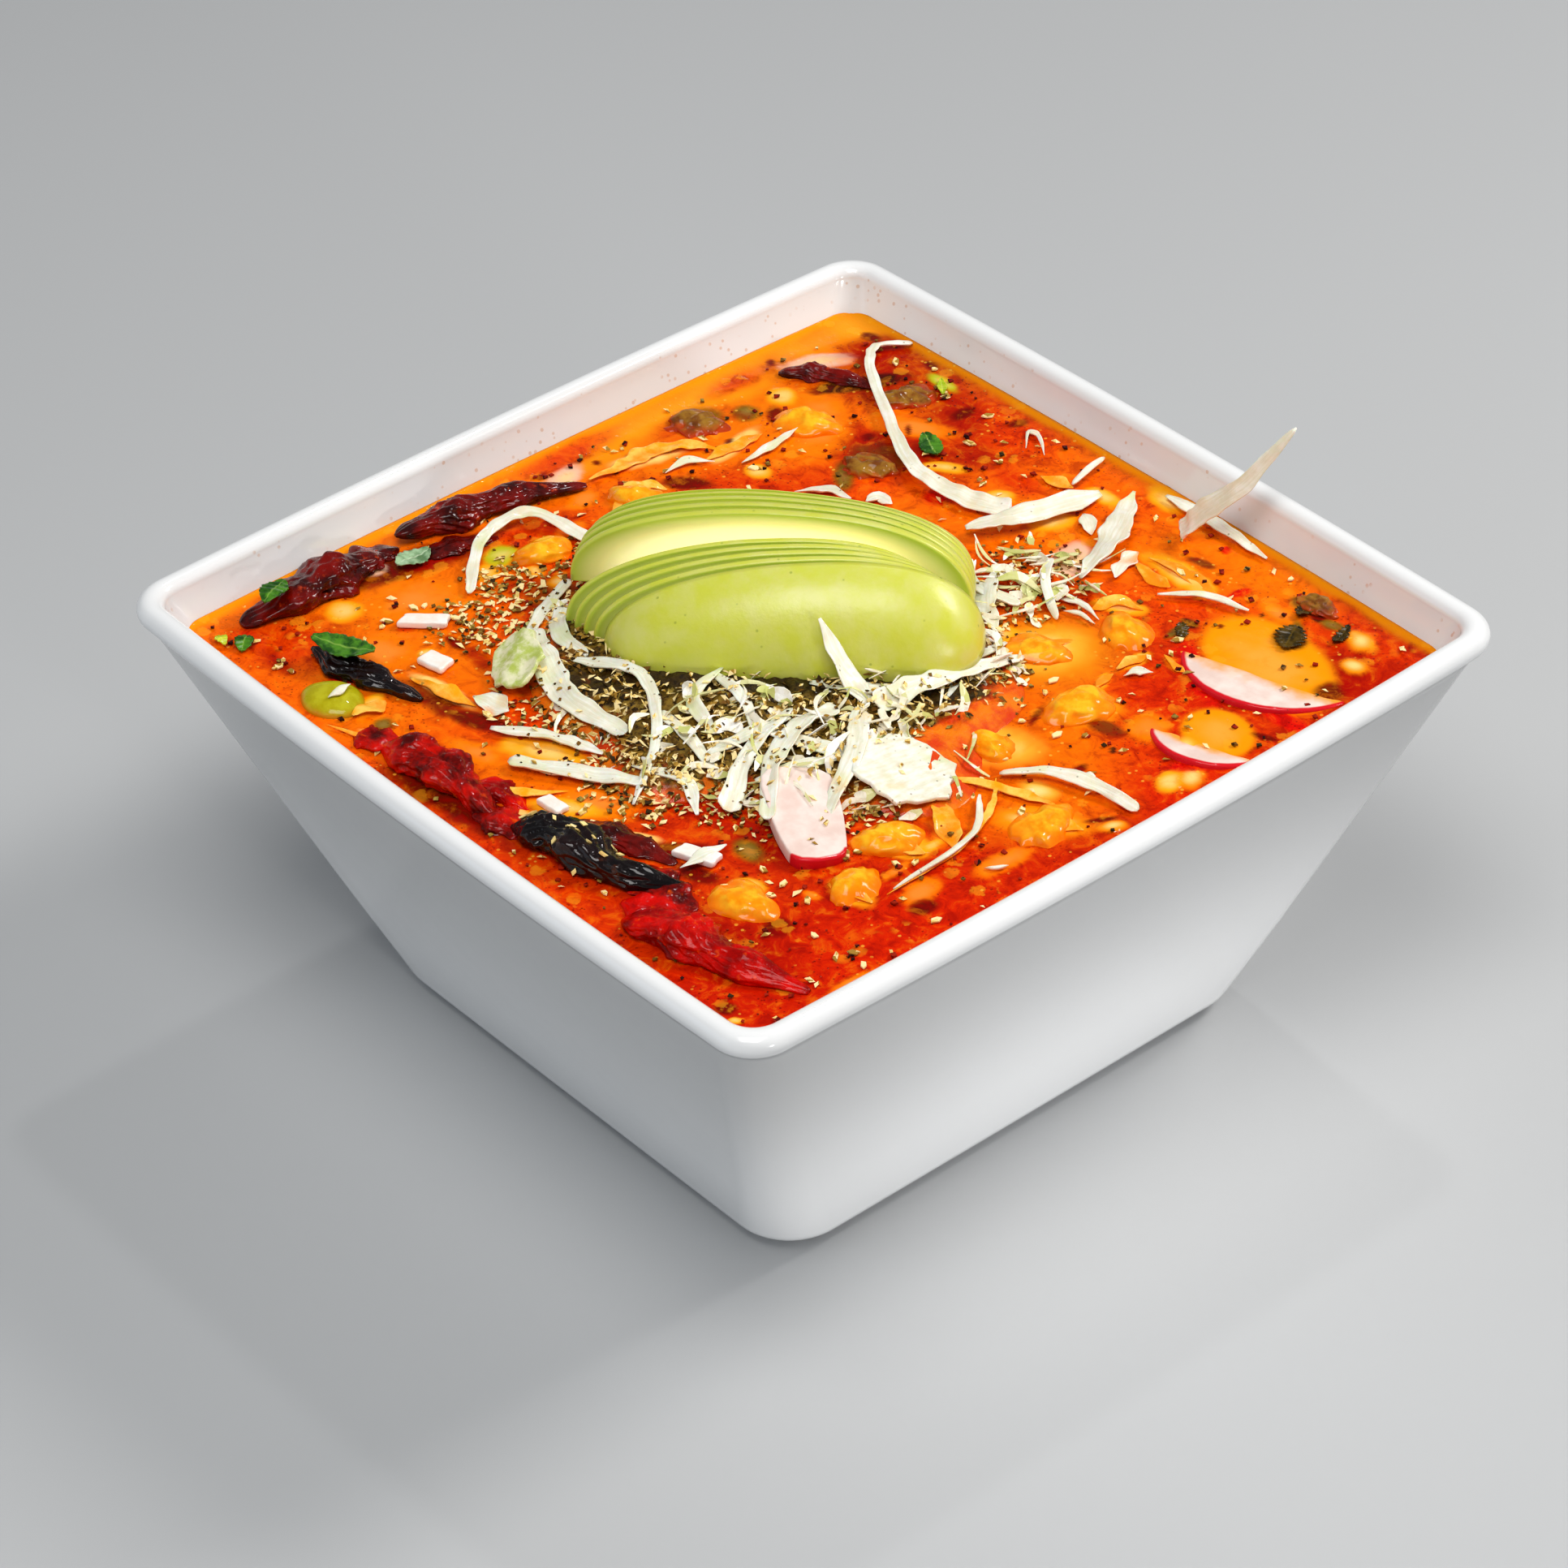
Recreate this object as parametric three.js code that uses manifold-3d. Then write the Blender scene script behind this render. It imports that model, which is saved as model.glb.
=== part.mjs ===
// A square white bowl of red hominy soup, topped with a fan of sliced avocado on a heap of shredded
// cabbage and dried oregano, with dried chillies, radish slices, hominy and herbs in the broth.
// Millimetres, +Z up. The origin is the middle of the bowl's underside. The corner (+X, -Y) points
// at somebody who looks at the bowl from the front.

import * as THREE from 'three';
import { mergeVertices } from 'three/addons/utils/BufferGeometryUtils.js';
import Module from 'manifold-3d';

const wasm = await Module();
wasm.setup();

// ---------------------------------------------------------------- driving dimensions

const GAP = 0.35; // clearance that touching pieces keep
const SLIVER = 0.04; // faces thinner than this are merged after a cut or a join

// bowl
const RIM_HALF = 100; // half the side of the rim, at its corners
const BASE_HALF = 64.2; // half the side of the base, where wall and underside would meet
const HEIGHT = 96.8;
const RIM_CORNER = 9.75; // corner radius in plan, at the rim
const BASE_CORNER = 12.5; // corner radius in plan, at the base
const BASE_FILLET = 9; // rounding between underside and wall
const SIDE_BOW = 1.4; // how far the middle of a side swells outwards
const WALL = 5;
const FLOOR = 6;
const LIP_RADIUS = 2.75; // the rolled lip is a round bead
const LIP_OVERHANG = 1.8; // how far the bead stands proud of the wall
const HALFWAY = 45; // level of the ring of points halfway up the wall
const UNDER_LIP = 88; // level of the ring of points below the lip, inside

// broth
const LEVEL = 87.5;
const MENISCUS = 0.5; // rise of the broth where it meets the wall

// avocado fan
const FAN_BASE = 93; // height of the cut side that lies on the cabbage
const FAN_TURN = Math.PI / 4; // its length runs from the left corner to the right corner
const FAN_START = new THREE.Vector3(-15.3, -40.8, FAN_BASE); // front left end of the fan
const FRUIT_MIDDLE = 37; // along the fan
const FRUIT_HALF_WIDTH = 21;
const FRUIT_HEIGHT = 20.5;
const FRONT_HALF_LENGTH = 39;
const BACK_HALF_LENGTH = 42;
const SLICE = 1.35; // thickness of a thin slice in the front half
const BACK_SLICE = 2.2; // and in the back half
const SLICES = 5; // slices in each half of the fan

// heap of cabbage
const HEAP_CENTRE = new THREE.Vector2(6, -14);
const HEAP_RADIUS = 47;
const HEAP_RISE = 4.6;

// ---------------------------------------------------------------- helpers

function seeded(seed) {
  let state = seed;
  return () => {
    state = (state * 1664525 + 1013904223) % 4294967296;
    return state / 4294967296;
  };
}

const lerp = THREE.MathUtils.lerp;

// A smooth repeatable swell, between -1 and 1, from a place and a seed.
function swell(x, y, z, seed) {
  const a = Math.sin(x * 1.7 + seed * 3.1) * Math.cos(y * 2.3 + seed);
  const b = Math.sin(y * 1.3 + z * 2.9 + seed * 1.7);
  return 0.6 * a + 0.4 * b;
}

// A closed skin over rings that all have the same number of points, with a fan at each end.
function loft(rings) {
  const count = rings[0].length;
  const positions = rings.flat().flatMap((p) => [p.x, p.y, p.z]);
  const index = [];
  for (let i = 0; i < rings.length - 1; i += 1) {
    for (let j = 0; j < count; j += 1) {
      const k = (j + 1) % count;
      const a = i * count + j;
      const b = i * count + k;
      index.push(a, b, b + count, a, b + count, a + count);
    }
  }
  for (const end of [0, rings.length - 1]) {
    const middle = new THREE.Vector3();
    rings[end].forEach((p) => middle.add(p));
    middle.divideScalar(count);
    const centre = positions.length / 3;
    positions.push(middle.x, middle.y, middle.z);
    for (let j = 0; j < count; j += 1) {
      const a = end * count + j;
      const b = end * count + ((j + 1) % count);
      index.push(...(end === 0 ? [b, a, centre] : [a, b, centre]));
    }
  }
  const geometry = new THREE.BufferGeometry();
  geometry.setAttribute('position', new THREE.Float32BufferAttribute(positions, 3));
  geometry.setIndex(index);
  return welded(geometry);
}

// The same skin with its shared points merged, turned inside in where it was inside out.
function welded(source) {
  const plain = source.clone();
  plain.deleteAttribute('normal');
  plain.deleteAttribute('uv');
  const geometry = mergeVertices(plain, 1e-4);
  const p = geometry.attributes.position;
  const index = Array.from(geometry.index.array);
  const corner = [new THREE.Vector3(), new THREE.Vector3(), new THREE.Vector3()];
  const kept = [];
  let volume = 0;
  for (let i = 0; i < index.length; i += 3) {
    const [a, b, c] = index.slice(i, i + 3);
    if (a !== b && b !== c && c !== a) {
      [a, b, c].forEach((v, n) => corner[n].fromBufferAttribute(p, v));
      volume += corner[0].dot(corner[1].clone().cross(corner[2]));
      kept.push(a, b, c);
    }
  }
  if (volume < 0) {
    kept.reverse();
  }
  geometry.setIndex(kept);
  return geometry;
}

function solidOf(geometry) {
  return new wasm.Manifold(new wasm.Mesh({
    numProp: 3,
    vertProperties: new Float32Array(geometry.attributes.position.array),
    triVerts: new Uint32Array(geometry.index.array),
  }));
}

function geometryOf(solid) {
  const mesh = solid.getMesh();
  const geometry = new THREE.BufferGeometry();
  geometry.setAttribute('position', new THREE.BufferAttribute(mesh.vertProperties, 3));
  geometry.setIndex(new THREE.BufferAttribute(mesh.triVerts, 1));
  return geometry;
}

// A copy whose every face stands out by the same distance, used to cut a seat with some clearance.
function grown(geometry, by) {
  const copy = geometry.clone();
  copy.computeVertexNormals();
  const p = copy.attributes.position;
  const n = copy.attributes.normal;
  const corners = Array.from(copy.index.array);
  const mitre = new Float32Array(p.count).fill(1);
  const at = (v) => new THREE.Vector3().fromBufferAttribute(p, v);
  for (let i = 0; i < corners.length; i += 3) {
    const [a, b, c] = corners.slice(i, i + 3);
    const face = at(b).sub(at(a)).cross(at(c).sub(at(a))).normalize();
    for (const v of [a, b, c]) {
      const lean = face.dot(new THREE.Vector3().fromBufferAttribute(n, v));
      mitre[v] = Math.min(mitre[v], Math.max(lean, 0.45));
    }
  }
  for (let i = 0; i < p.count; i += 1) {
    const far = by / mitre[i];
    p.setXYZ(i, p.getX(i) + n.getX(i) * far, p.getY(i) + n.getY(i) * far, p.getZ(i) + n.getZ(i) * far);
  }
  copy.deleteAttribute('normal');
  return copy;
}

const scene = new THREE.Group();

function addMesh(name, geometry, colour, roughness = 0.5, parent = scene) {
  const material = new THREE.MeshStandardMaterial({ color: colour, roughness, metalness: 0 });
  const mesh = new THREE.Mesh(geometry, material);
  mesh.name = name;
  parent.add(mesh);
  return mesh;
}

// ---------------------------------------------------------------- the bowl

const WALL_SLOPE = (RIM_HALF - LIP_OVERHANG - BASE_HALF) / (HEIGHT - 2 * LIP_RADIUS);

function outerHalf(z) {
  return BASE_HALF + WALL_SLOPE * z;
}

function innerHalf(z) {
  return outerHalf(z) - WALL;
}

// One level of the bowl: a square with round corners whose sides swell a little.
function squareRing(half, corner, bow, z) {
  const cornerSteps = 6;
  const sideSteps = 4;
  const points = [];
  for (let quarter = 0; quarter < 4; quarter += 1) {
    const turn = new THREE.Matrix4().makeRotationZ(quarter * Math.PI / 2);
    const reach = half - corner;
    for (let i = 0; i <= cornerSteps; i += 1) {
      const angle = (i / cornerSteps) * Math.PI / 2;
      const x = reach + corner * Math.cos(angle);
      const y = reach + corner * Math.sin(angle);
      points.push(new THREE.Vector3(x, y, z).applyMatrix4(turn));
    }
    for (let i = 1; i < sideSteps; i += 1) {
      const along = 1 - (2 * i) / sideSteps;
      const y = half + bow * (1 - along * along);
      points.push(new THREE.Vector3(reach * along, y, z).applyMatrix4(turn));
    }
  }
  return points;
}

function cornerAt(z) {
  return lerp(BASE_CORNER, RIM_CORNER, Math.min(z / HEIGHT, 1));
}

function bowAt(z) {
  return SIDE_BOW * Math.min(z / HEIGHT, 1);
}

// The rounding between a level floor and the sloping wall, as [half side, height] pairs.
function filletProfile(half, z, radius, steps) {
  const slant = Math.atan(WALL_SLOPE);
  const reach = radius * Math.tan((Math.PI / 2 - slant) / 2);
  const profile = [];
  for (let i = 0; i <= steps; i += 1) {
    const angle = (i / steps) * (Math.PI / 2 - slant);
    profile.push([half - reach + radius * Math.sin(angle), z + radius * (1 - Math.cos(angle))]);
  }
  return profile;
}

function bowlGeometry() {
  const rings = [];
  const add = (half, z, corner) => rings.push(squareRing(half, corner, bowAt(z), z));
  for (const [half, z] of filletProfile(BASE_HALF, 0, BASE_FILLET, 4)) {
    add(half, z, BASE_CORNER - (BASE_HALF - half) * 0.5);
  }
  add(outerHalf(HALFWAY), HALFWAY, cornerAt(HALFWAY));
  const lipMiddle = RIM_HALF - LIP_RADIUS;
  const lipLevel = HEIGHT - LIP_RADIUS;
  const lipSteps = 9;
  for (let i = 0; i <= lipSteps; i += 1) {
    const angle = lerp(-70, 180, i / lipSteps) * Math.PI / 180;
    const half = lipMiddle + LIP_RADIUS * Math.cos(angle);
    add(half, lipLevel + LIP_RADIUS * Math.sin(angle), RIM_CORNER - (RIM_HALF - half) * 0.75);
  }
  add(innerHalf(UNDER_LIP), UNDER_LIP, RIM_CORNER - WALL * 0.75);
  add(innerHalf(HALFWAY), HALFWAY, cornerAt(HALFWAY) - WALL * 0.75);
  for (const [half, z] of filletProfile(innerHalf(FLOOR), FLOOR, BASE_FILLET, 3).reverse()) {
    add(half, z, BASE_CORNER - 4);
  }
  return loft(rings);
}

// The broth fills the bowl from the floor to its level, a gap away from the wall.
function brothGeometry() {
  const rings = [];
  const clear = GAP * 1.2;
  for (const [half, z] of filletProfile(innerHalf(FLOOR), FLOOR + clear, BASE_FILLET, 2)) {
    rings.push(squareRing(half - clear, BASE_CORNER - 4.3, bowAt(z), z));
  }
  const halfwayCorner = cornerAt(HALFWAY) - WALL * 0.8;
  rings.push(squareRing(innerHalf(HALFWAY) - clear, halfwayCorner, bowAt(HALFWAY), HALFWAY));
  const edge = innerHalf(LEVEL) - clear;
  const corner = RIM_CORNER - WALL * 0.8;
  rings.push(squareRing(edge, corner, bowAt(LEVEL), LEVEL + MENISCUS));
  rings.push(squareRing(edge - 1.2, corner - 0.3, bowAt(LEVEL), LEVEL + MENISCUS * 0.3));
  rings.push(squareRing(edge - 3, corner - 0.8, bowAt(LEVEL), LEVEL));
  return loft(rings);
}

addMesh('bowl', bowlGeometry(), 0xf2f1ee, 0.15);

// ---------------------------------------------------------------- avocado fan

// A slice is cut from half a peeled fruit that lies on its cut side. Its two faces are the planes
// front and back, measured across the fruit from its middle.
function avocadoSlice(front, back, skinSteps, halfLength) {
  const arcSteps = 22;
  const rings = [];
  const quarter = Math.PI / 2;
  for (let i = 0; i <= skinSteps; i += 1) {
    const step = i / skinSteps;
    // rings lie closer together where the fruit curves down to its cut side
    const eased = front > FRUIT_HALF_WIDTH - 1 ? 1 - Math.cos(step * quarter) : Math.sin(step * quarter);
    const across = lerp(front, back, skinSteps > 1 ? eased : step);
    const offset = Math.min(Math.abs(across / FRUIT_HALF_WIDTH), 0.999);
    const taper = halfLength * (1 - offset ** 2.8) ** (1 / 2.8);
    const fuller = halfLength * (1 - offset ** 5) ** (1 / 5);
    const height = FRUIT_HEIGHT * (1 - offset ** 2.1) ** (1 / 2.1);
    const ring = [];
    for (let j = 0; j <= arcSteps; j += 1) {
      const angle = Math.PI * (1 - j / arcSteps);
      const lengthwise = Math.cos(angle);
      const blunt = 1 + 0.1 * lengthwise; // the stone's end of the fruit is the fuller one
      const x = lengthwise > 0 ? fuller * lengthwise ** 0.82 : taper * lengthwise;
      const z = height * blunt * Math.sin(angle) ** 0.8;
      ring.push(new THREE.Vector3(x, -across, z));
    }
    rings.push(ring.reverse());
  }
  return loft(rings);
}

const fan = new THREE.Group();
fan.position.copy(FAN_START);
fan.rotation.z = FAN_TURN;
scene.add(fan);

// Both halves of the fan swing about an upright line past the fruit's full end.
const PIVOT_X = 78;
const sliceMeshes = [];

function addSlice(name, [front, back, skinSteps, halfLength], swing, slide, sink) {
  const turner = new THREE.Group();
  turner.position.set(PIVOT_X, FRUIT_HALF_WIDTH, 0);
  turner.rotation.z = THREE.MathUtils.degToRad(swing);
  turner.rotation.y = THREE.MathUtils.degToRad(sink);
  fan.add(turner);
  const mesh = addMesh(name, avocadoSlice(front, back, skinSteps, halfLength), 0xb4cb4a, 0.35, turner);
  mesh.position.set(FRUIT_MIDDLE - PIVOT_X + slide, 0, 0);
  sliceMeshes.push(mesh);
}

// Front half: one thick cheek and thin slices that peep out behind its left end.
const CHEEK_BACK = 6.5;
const SETTLE = -2.6; // degrees that the front half's left end dips
addSlice('avocado_front_1', [FRUIT_HALF_WIDTH, CHEEK_BACK, 6, FRONT_HALF_LENGTH], 1.5, 0, SETTLE);
for (let i = 1; i < SLICES; i += 1) {
  const front = CHEEK_BACK - GAP - (i - 1) * (SLICE + GAP);
  const shape = [front, front - SLICE, 1, FRONT_HALF_LENGTH];
  addSlice(`avocado_front_${i + 1}`, shape, 1.5 - 0.4 * i, -2 * i, SETTLE);
}
// Back half: its first slice shows a cream cut face where the fan opens.
const BACK_START = CHEEK_BACK - GAP - (SLICES - 1) * (SLICE + GAP) - 0.6;
for (let i = 0; i < SLICES; i += 1) {
  const front = BACK_START - i * (BACK_SLICE + GAP);
  const last = i === SLICES - 1;
  const back = last ? 0.5 - FRUIT_HALF_WIDTH : front - BACK_SLICE;
  const shape = [front, back, last ? 5 : 1, BACK_HALF_LENGTH];
  addSlice(`avocado_back_${i + 1}`, shape, -6.5 - 0.8 * i, -6 - 0.4 * i, -0.3);
}
scene.updateMatrixWorld(true);

// The room that a slice takes up in the heap: the slice stretched about its middle.
function sliceRoom(mesh) {
  const spare = 3 * GAP;
  const room = mesh.geometry.clone();
  room.computeBoundingBox();
  const middle = room.boundingBox.getCenter(new THREE.Vector3());
  const size = room.boundingBox.getSize(new THREE.Vector3());
  room.translate(-middle.x, -middle.y, -middle.z);
  room.scale(1 + spare / size.x, 1 + spare / size.y, 1 + spare / size.z);
  room.translate(middle.x, middle.y, middle.z);
  return room.applyMatrix4(mesh.matrixWorld);
}

// ---------------------------------------------------------------- strips, chillies and lumps

// A strip of leaf along a curve: points are [x, y, z], width runs from end to middle to end.
function stripGeometry(points, widths, thick, twist, steps) {
  const curve = new THREE.CatmullRomCurve3(points.map((p) => new THREE.Vector3(...p)));
  const rings = [];
  for (let i = 0; i <= steps; i += 1) {
    const t = i / steps;
    const centre = curve.getPoint(t);
    const ahead = curve.getTangent(t);
    const side = new THREE.Vector3(0, 0, 1).cross(ahead);
    if (side.length() < 0.2) {
      side.set(1, 0, 0).addScaledVector(ahead, -ahead.x);
    }
    side.normalize().applyAxisAngle(ahead, lerp(twist[0], twist[1], t));
    const up = ahead.clone().cross(side).normalize();
    const width = t < 0.5 ? lerp(widths[0], widths[1], t * 2) : lerp(widths[1], widths[2], t * 2 - 1);
    const ring = [[1, 1], [-1, 1], [-1, -1], [1, -1]].map(([s, u]) => centre.clone()
      .addScaledVector(side, s * width / 2)
      .addScaledVector(up, u * thick / 2));
    rings.push(ring);
  }
  return loft(rings);
}

// A dried chilli: a flattened, pinched and creased tube with a thin stem at its first end.
function chilliGeometry(points, radius, flat, seed) {
  const curve = new THREE.CatmullRomCurve3(points.map((p) => new THREE.Vector3(...p)));
  const steps = Math.max(8, Math.round(curve.getLength() / 4));
  const sides = 9;
  const rings = [];
  for (let i = 0; i <= steps; i += 1) {
    const t = i / steps;
    const centre = curve.getPoint(t);
    const ahead = curve.getTangent(t);
    const side = new THREE.Vector3(0, 0, 1).cross(ahead).normalize();
    const up = ahead.clone().cross(side).normalize();
    const belly = Math.min(1, Math.sqrt(t / 0.3)) * Math.min(1, Math.sqrt((1 - t) / 0.62 + 0.02));
    const pinch = 1 + 0.16 * Math.sin(t * 19 + seed);
    const ring = [];
    for (let j = 0; j < sides; j += 1) {
      const angle = (j / sides) * 2 * Math.PI;
      const crease = 1 + 0.15 * Math.sin(3 * angle + 5 * t + seed);
      const r = Math.max(radius * belly * pinch * crease, 0.7);
      ring.push(centre.clone()
        .addScaledVector(side, r * Math.cos(angle))
        .addScaledVector(up, r * flat * Math.sin(angle)));
    }
    rings.push(ring);
  }
  return loft(rings);
}

// An uneven lump: a ball of few faces, pushed in and out, stretched and turned.
function lumpGeometry([x, y, z], [rx, ry, rz], turn, rough, seed, detail = 1) {
  const geometry = welded(new THREE.IcosahedronGeometry(1, detail));
  const p = geometry.attributes.position;
  for (let i = 0; i < p.count; i += 1) {
    const s = 1 + rough * swell(p.getX(i) * 1.6, p.getY(i) * 1.6, p.getZ(i) * 1.6, seed);
    p.setXYZ(i, p.getX(i) * s * rx, p.getY(i) * s * ry, p.getZ(i) * s * rz);
  }
  geometry.rotateZ(turn);
  geometry.translate(x, y, z);
  return geometry;
}

// A flat piece with an upright edge: outline in plan, from low to high, tilted and placed.
function plateGeometry(outline, thick, tiltX, tiltY, turn, [x, y, z]) {
  const rings = [-1, 1].map((s) => outline.map(([px, py]) => new THREE.Vector3(px, py, s * thick / 2)));
  const geometry = loft(rings);
  geometry.rotateZ(turn);
  geometry.rotateX(tiltX);
  geometry.rotateY(tiltY);
  geometry.translate(x, y, z);
  return geometry;
}

function discOutline(rx, ry, count, from = 0, to = 2 * Math.PI) {
  return Array.from({ length: count }, (_, i) => {
    const angle = lerp(from, to, i / count);
    return [rx * Math.cos(angle), ry * Math.sin(angle)];
  });
}

// A small leaf: thin and wavy, both faces split into the same triangles.
function leafGeometry([x, y, z], length, width, turn, seed) {
  const rows = 5;
  const thick = 0.6;
  const rings = [];
  for (let i = 0; i <= rows; i += 1) {
    const t = i / rows;
    const half = (width / 2) * Math.max(Math.sin(Math.PI * Math.min(t * 0.92 + 0.04, 1)) ** 0.8, 0.08);
    const rise = 0.5 * Math.sin(t * 5 + seed);
    const across = [-1, 0, 1].map((s) => [s * half, rise + 0.35 * Math.abs(s)]);
    const top = across.map(([px, pz]) => new THREE.Vector3(px, (t - 0.5) * length, pz + thick / 2));
    const under = across.map(([px, pz]) => new THREE.Vector3(px, (t - 0.5) * length, pz - thick / 2));
    rings.push([...top, ...under.reverse()]);
  }
  const geometry = loft(rings);
  geometry.rotateZ(turn);
  geometry.translate(x, y, z);
  return geometry;
}

const sunk = []; // pieces that stand in the broth and cut their seats in it

function addSunk(name, geometry, colour, roughness) {
  sunk.push(geometry);
  addMesh(name, geometry, colour, roughness);
}

const FLOAT = LEVEL + GAP; // a piece that lies on the broth starts here

// Dried chillies: name, centre line from the stem to the tip, radius, flatness, seed.
const CHILLIES = [
  ['chilli_left_long', [[-85.5, -40, 90.5], [-85, -26, 89.5], [-82, -12, 89.5], [-75.5, 3, 88.5]],
    4.3, 0.72, 1],
  ['chilli_left_wide', [[-84, -46, 89], [-84, -58, 89.5], [-83, -70, 89.5], [-84, -81, 88]], 6.2, 0.66, 2],
  ['chilli_black_small', [[-66, -76, 89.3], [-52, -73.5, 88.6], [-38, -69.5, 88]], 3.2, 0.8, 3],
  ['chilli_red_folded', [[-31, -85, 88], [-20, -82.5, 89], [-8, -82, 89], [3, -83, 88]], 4.6, 0.8, 4],
  ['chilli_black_long', [[8, -82.5, 88.5], [19, -79, 90], [33, -77.5, 90], [46, -70, 88.5]], 4.6, 0.78, 5],
  ['chilli_bright_red', [[45, -85, 88], [56, -81, 89.5], [69, -78, 89.3], [85, -72.5, 87.6]], 5.4, 0.76, 6],
  ['chilli_back_strip', [[-82, 62, 88], [-75, 69, 88.3], [-62, 74, 87.9]], 2.6, 0.6, 7],
];
const CHILLI_COLOUR = {
  chilli_left_long: 0x3a0d10,
  chilli_left_wide: 0x4a1012,
  chilli_black_small: 0x120a0a,
  chilli_red_folded: 0x7a1009,
  chilli_black_long: 0x140b0b,
  chilli_bright_red: 0xc01004,
  chilli_back_strip: 0x4a0c0c,
};
for (const [name, points, radius, flat, seed] of CHILLIES) {
  addSunk(name, chilliGeometry(points, radius, flat, seed), CHILLI_COLOUR[name], 0.25);
}

// Hominy kernels that break the surface, by place and turn. They differ in size by a rule.
const KERNELS = [
  [32.9, 32.8, 0.4], [53.1, 25.8, 1.2], [51, 3.5, 0.2], [77, -5.8, 1.8], [60, -31, 0.9],
  [66.5, -45.5, 2.2], [55.8, -64.2, 0.1], [-62.7, -18.8, 1.3], [-62.8, 53.9, 0.7],
  [40.5, 50.6, 2.6], [-65.3, 8, 0.5],
];
KERNELS.forEach(([x, y, turn], i) => {
  const size = 1 + 0.12 * Math.sin(i * 2.4);
  const middle = [x, y, LEVEL - 1.6 + 0.5 * Math.sin(i * 1.9)];
  const radii = [7.6 * size, 5.6 * size, 4.3];
  addSunk(`hominy_${i + 1}`, lumpGeometry(middle, radii, turn, 0.13, i), 0xf09a1c, 0.35);
});

// Lumps of stewed meat and one large green-yellow bean.
// [x, y, half length, half width, half height, middle below the level, turn]
const MEAT = [
  [-79, 36, 7, 4.6, 3, 0.9, 0.8], [-40.7, 52, 6.5, 4.5, 3, 0.9, 0.3],
  [-56, 76, 7, 5, 3, 0.9, 1.1], [60.5, 85.4, 4.6, 2.9, 1.9, -0.1, 0.1],
];
MEAT.forEach(([x, y, rx, ry, rz, deep, turn], i) => {
  const geometry = lumpGeometry([x, y, LEVEL - deep], [rx, ry, rz], turn, 0.2, i + 20);
  addSunk(`meat_${i + 1}`, geometry, 0x7d4a12, 0.4);
});
addSunk('bean', lumpGeometry([-50.5, -82.5, LEVEL - 0.7], [7.2, 6, 3.4], 0.2, 0.05, 41), 0xa3a418, 0.2);

// Radish slices: two lean in the broth with one edge up, one lies at the foot of the heap.
const RADISH = 3; // thickness
addSunk('radish_large',
  plateGeometry(discOutline(20, 18.5, 26), RADISH, -0.1, -0.03, 0.5, [68.3, 66.5, LEVEL - 2.5]),
  0xf4e3dc, 0.3);
addSunk('radish_small',
  plateGeometry(discOutline(12.6, 11, 20), RADISH, -0.16, -0.05, 0.2, [77.3, 38.5, LEVEL - 2.3]),
  0xf4e3dc, 0.3);
const radishWedge = [[-14, -7], [12, -6.5], [14.4, -3.5], [15, 0.5], [14, 4.5], [11, 7], [-11, 8]];
addSunk('radish_front',
  plateGeometry(radishWedge, RADISH, 0, 0.13, -0.47, [45, -39.5, LEVEL + 2.4]),
  0xf3dcd8, 0.3);

// The broth, with the seats of everything that stands in it cut away.
let broth = solidOf(brothGeometry());
for (const geometry of sunk) {
  broth = broth.subtract(solidOf(grown(geometry, GAP)));
}
addMesh('broth', geometryOf(broth.simplify(SLIVER)), 0xe0400a, 0.12);

// ---------------------------------------------------------------- heap of cabbage and oregano

function heapRadius(angle) {
  const lobes = 5 * Math.sin(angle * 2 + 0.9) + 3 * Math.sin(angle * 5 + 2) + 2 * Math.cos(angle * 9);
  return HEAP_RADIUS + lobes;
}

function heapHeight(share, angle) {
  const bump = 0.55 * Math.sin(angle * 11 + share * 17) + 0.4 * Math.sin(angle * 7 - share * 23);
  return 0.7 + HEAP_RISE * (1 - share ** 2.2) + bump * Math.min(share * 4, 1) * (1 - share * 0.5);
}

function heapCore() {
  const spokes = 40;
  const levels = 6;
  const rings = [];
  const ringAt = (share, top) => Array.from({ length: spokes }, (_, j) => {
    const angle = (j / spokes) * 2 * Math.PI;
    const r = heapRadius(angle) * share;
    const z = FLOAT + (top ? heapHeight(share, angle) : 0);
    return new THREE.Vector3(HEAP_CENTRE.x + r * Math.cos(angle), HEAP_CENTRE.y + r * Math.sin(angle), z);
  });
  rings.push(ringAt(1, false));
  for (let i = levels; i >= 1; i -= 1) {
    rings.push(ringAt(i / levels, true));
  }
  return loft(rings);
}

function heapTop(x, y) {
  const dx = x - HEAP_CENTRE.x;
  const dy = y - HEAP_CENTRE.y;
  const angle = Math.atan2(dy, dx);
  const share = Math.min(Math.hypot(dx, dy) / heapRadius(angle), 1);
  return share < 1 ? FLOAT + heapHeight(share, angle) : FLOAT;
}

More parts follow.
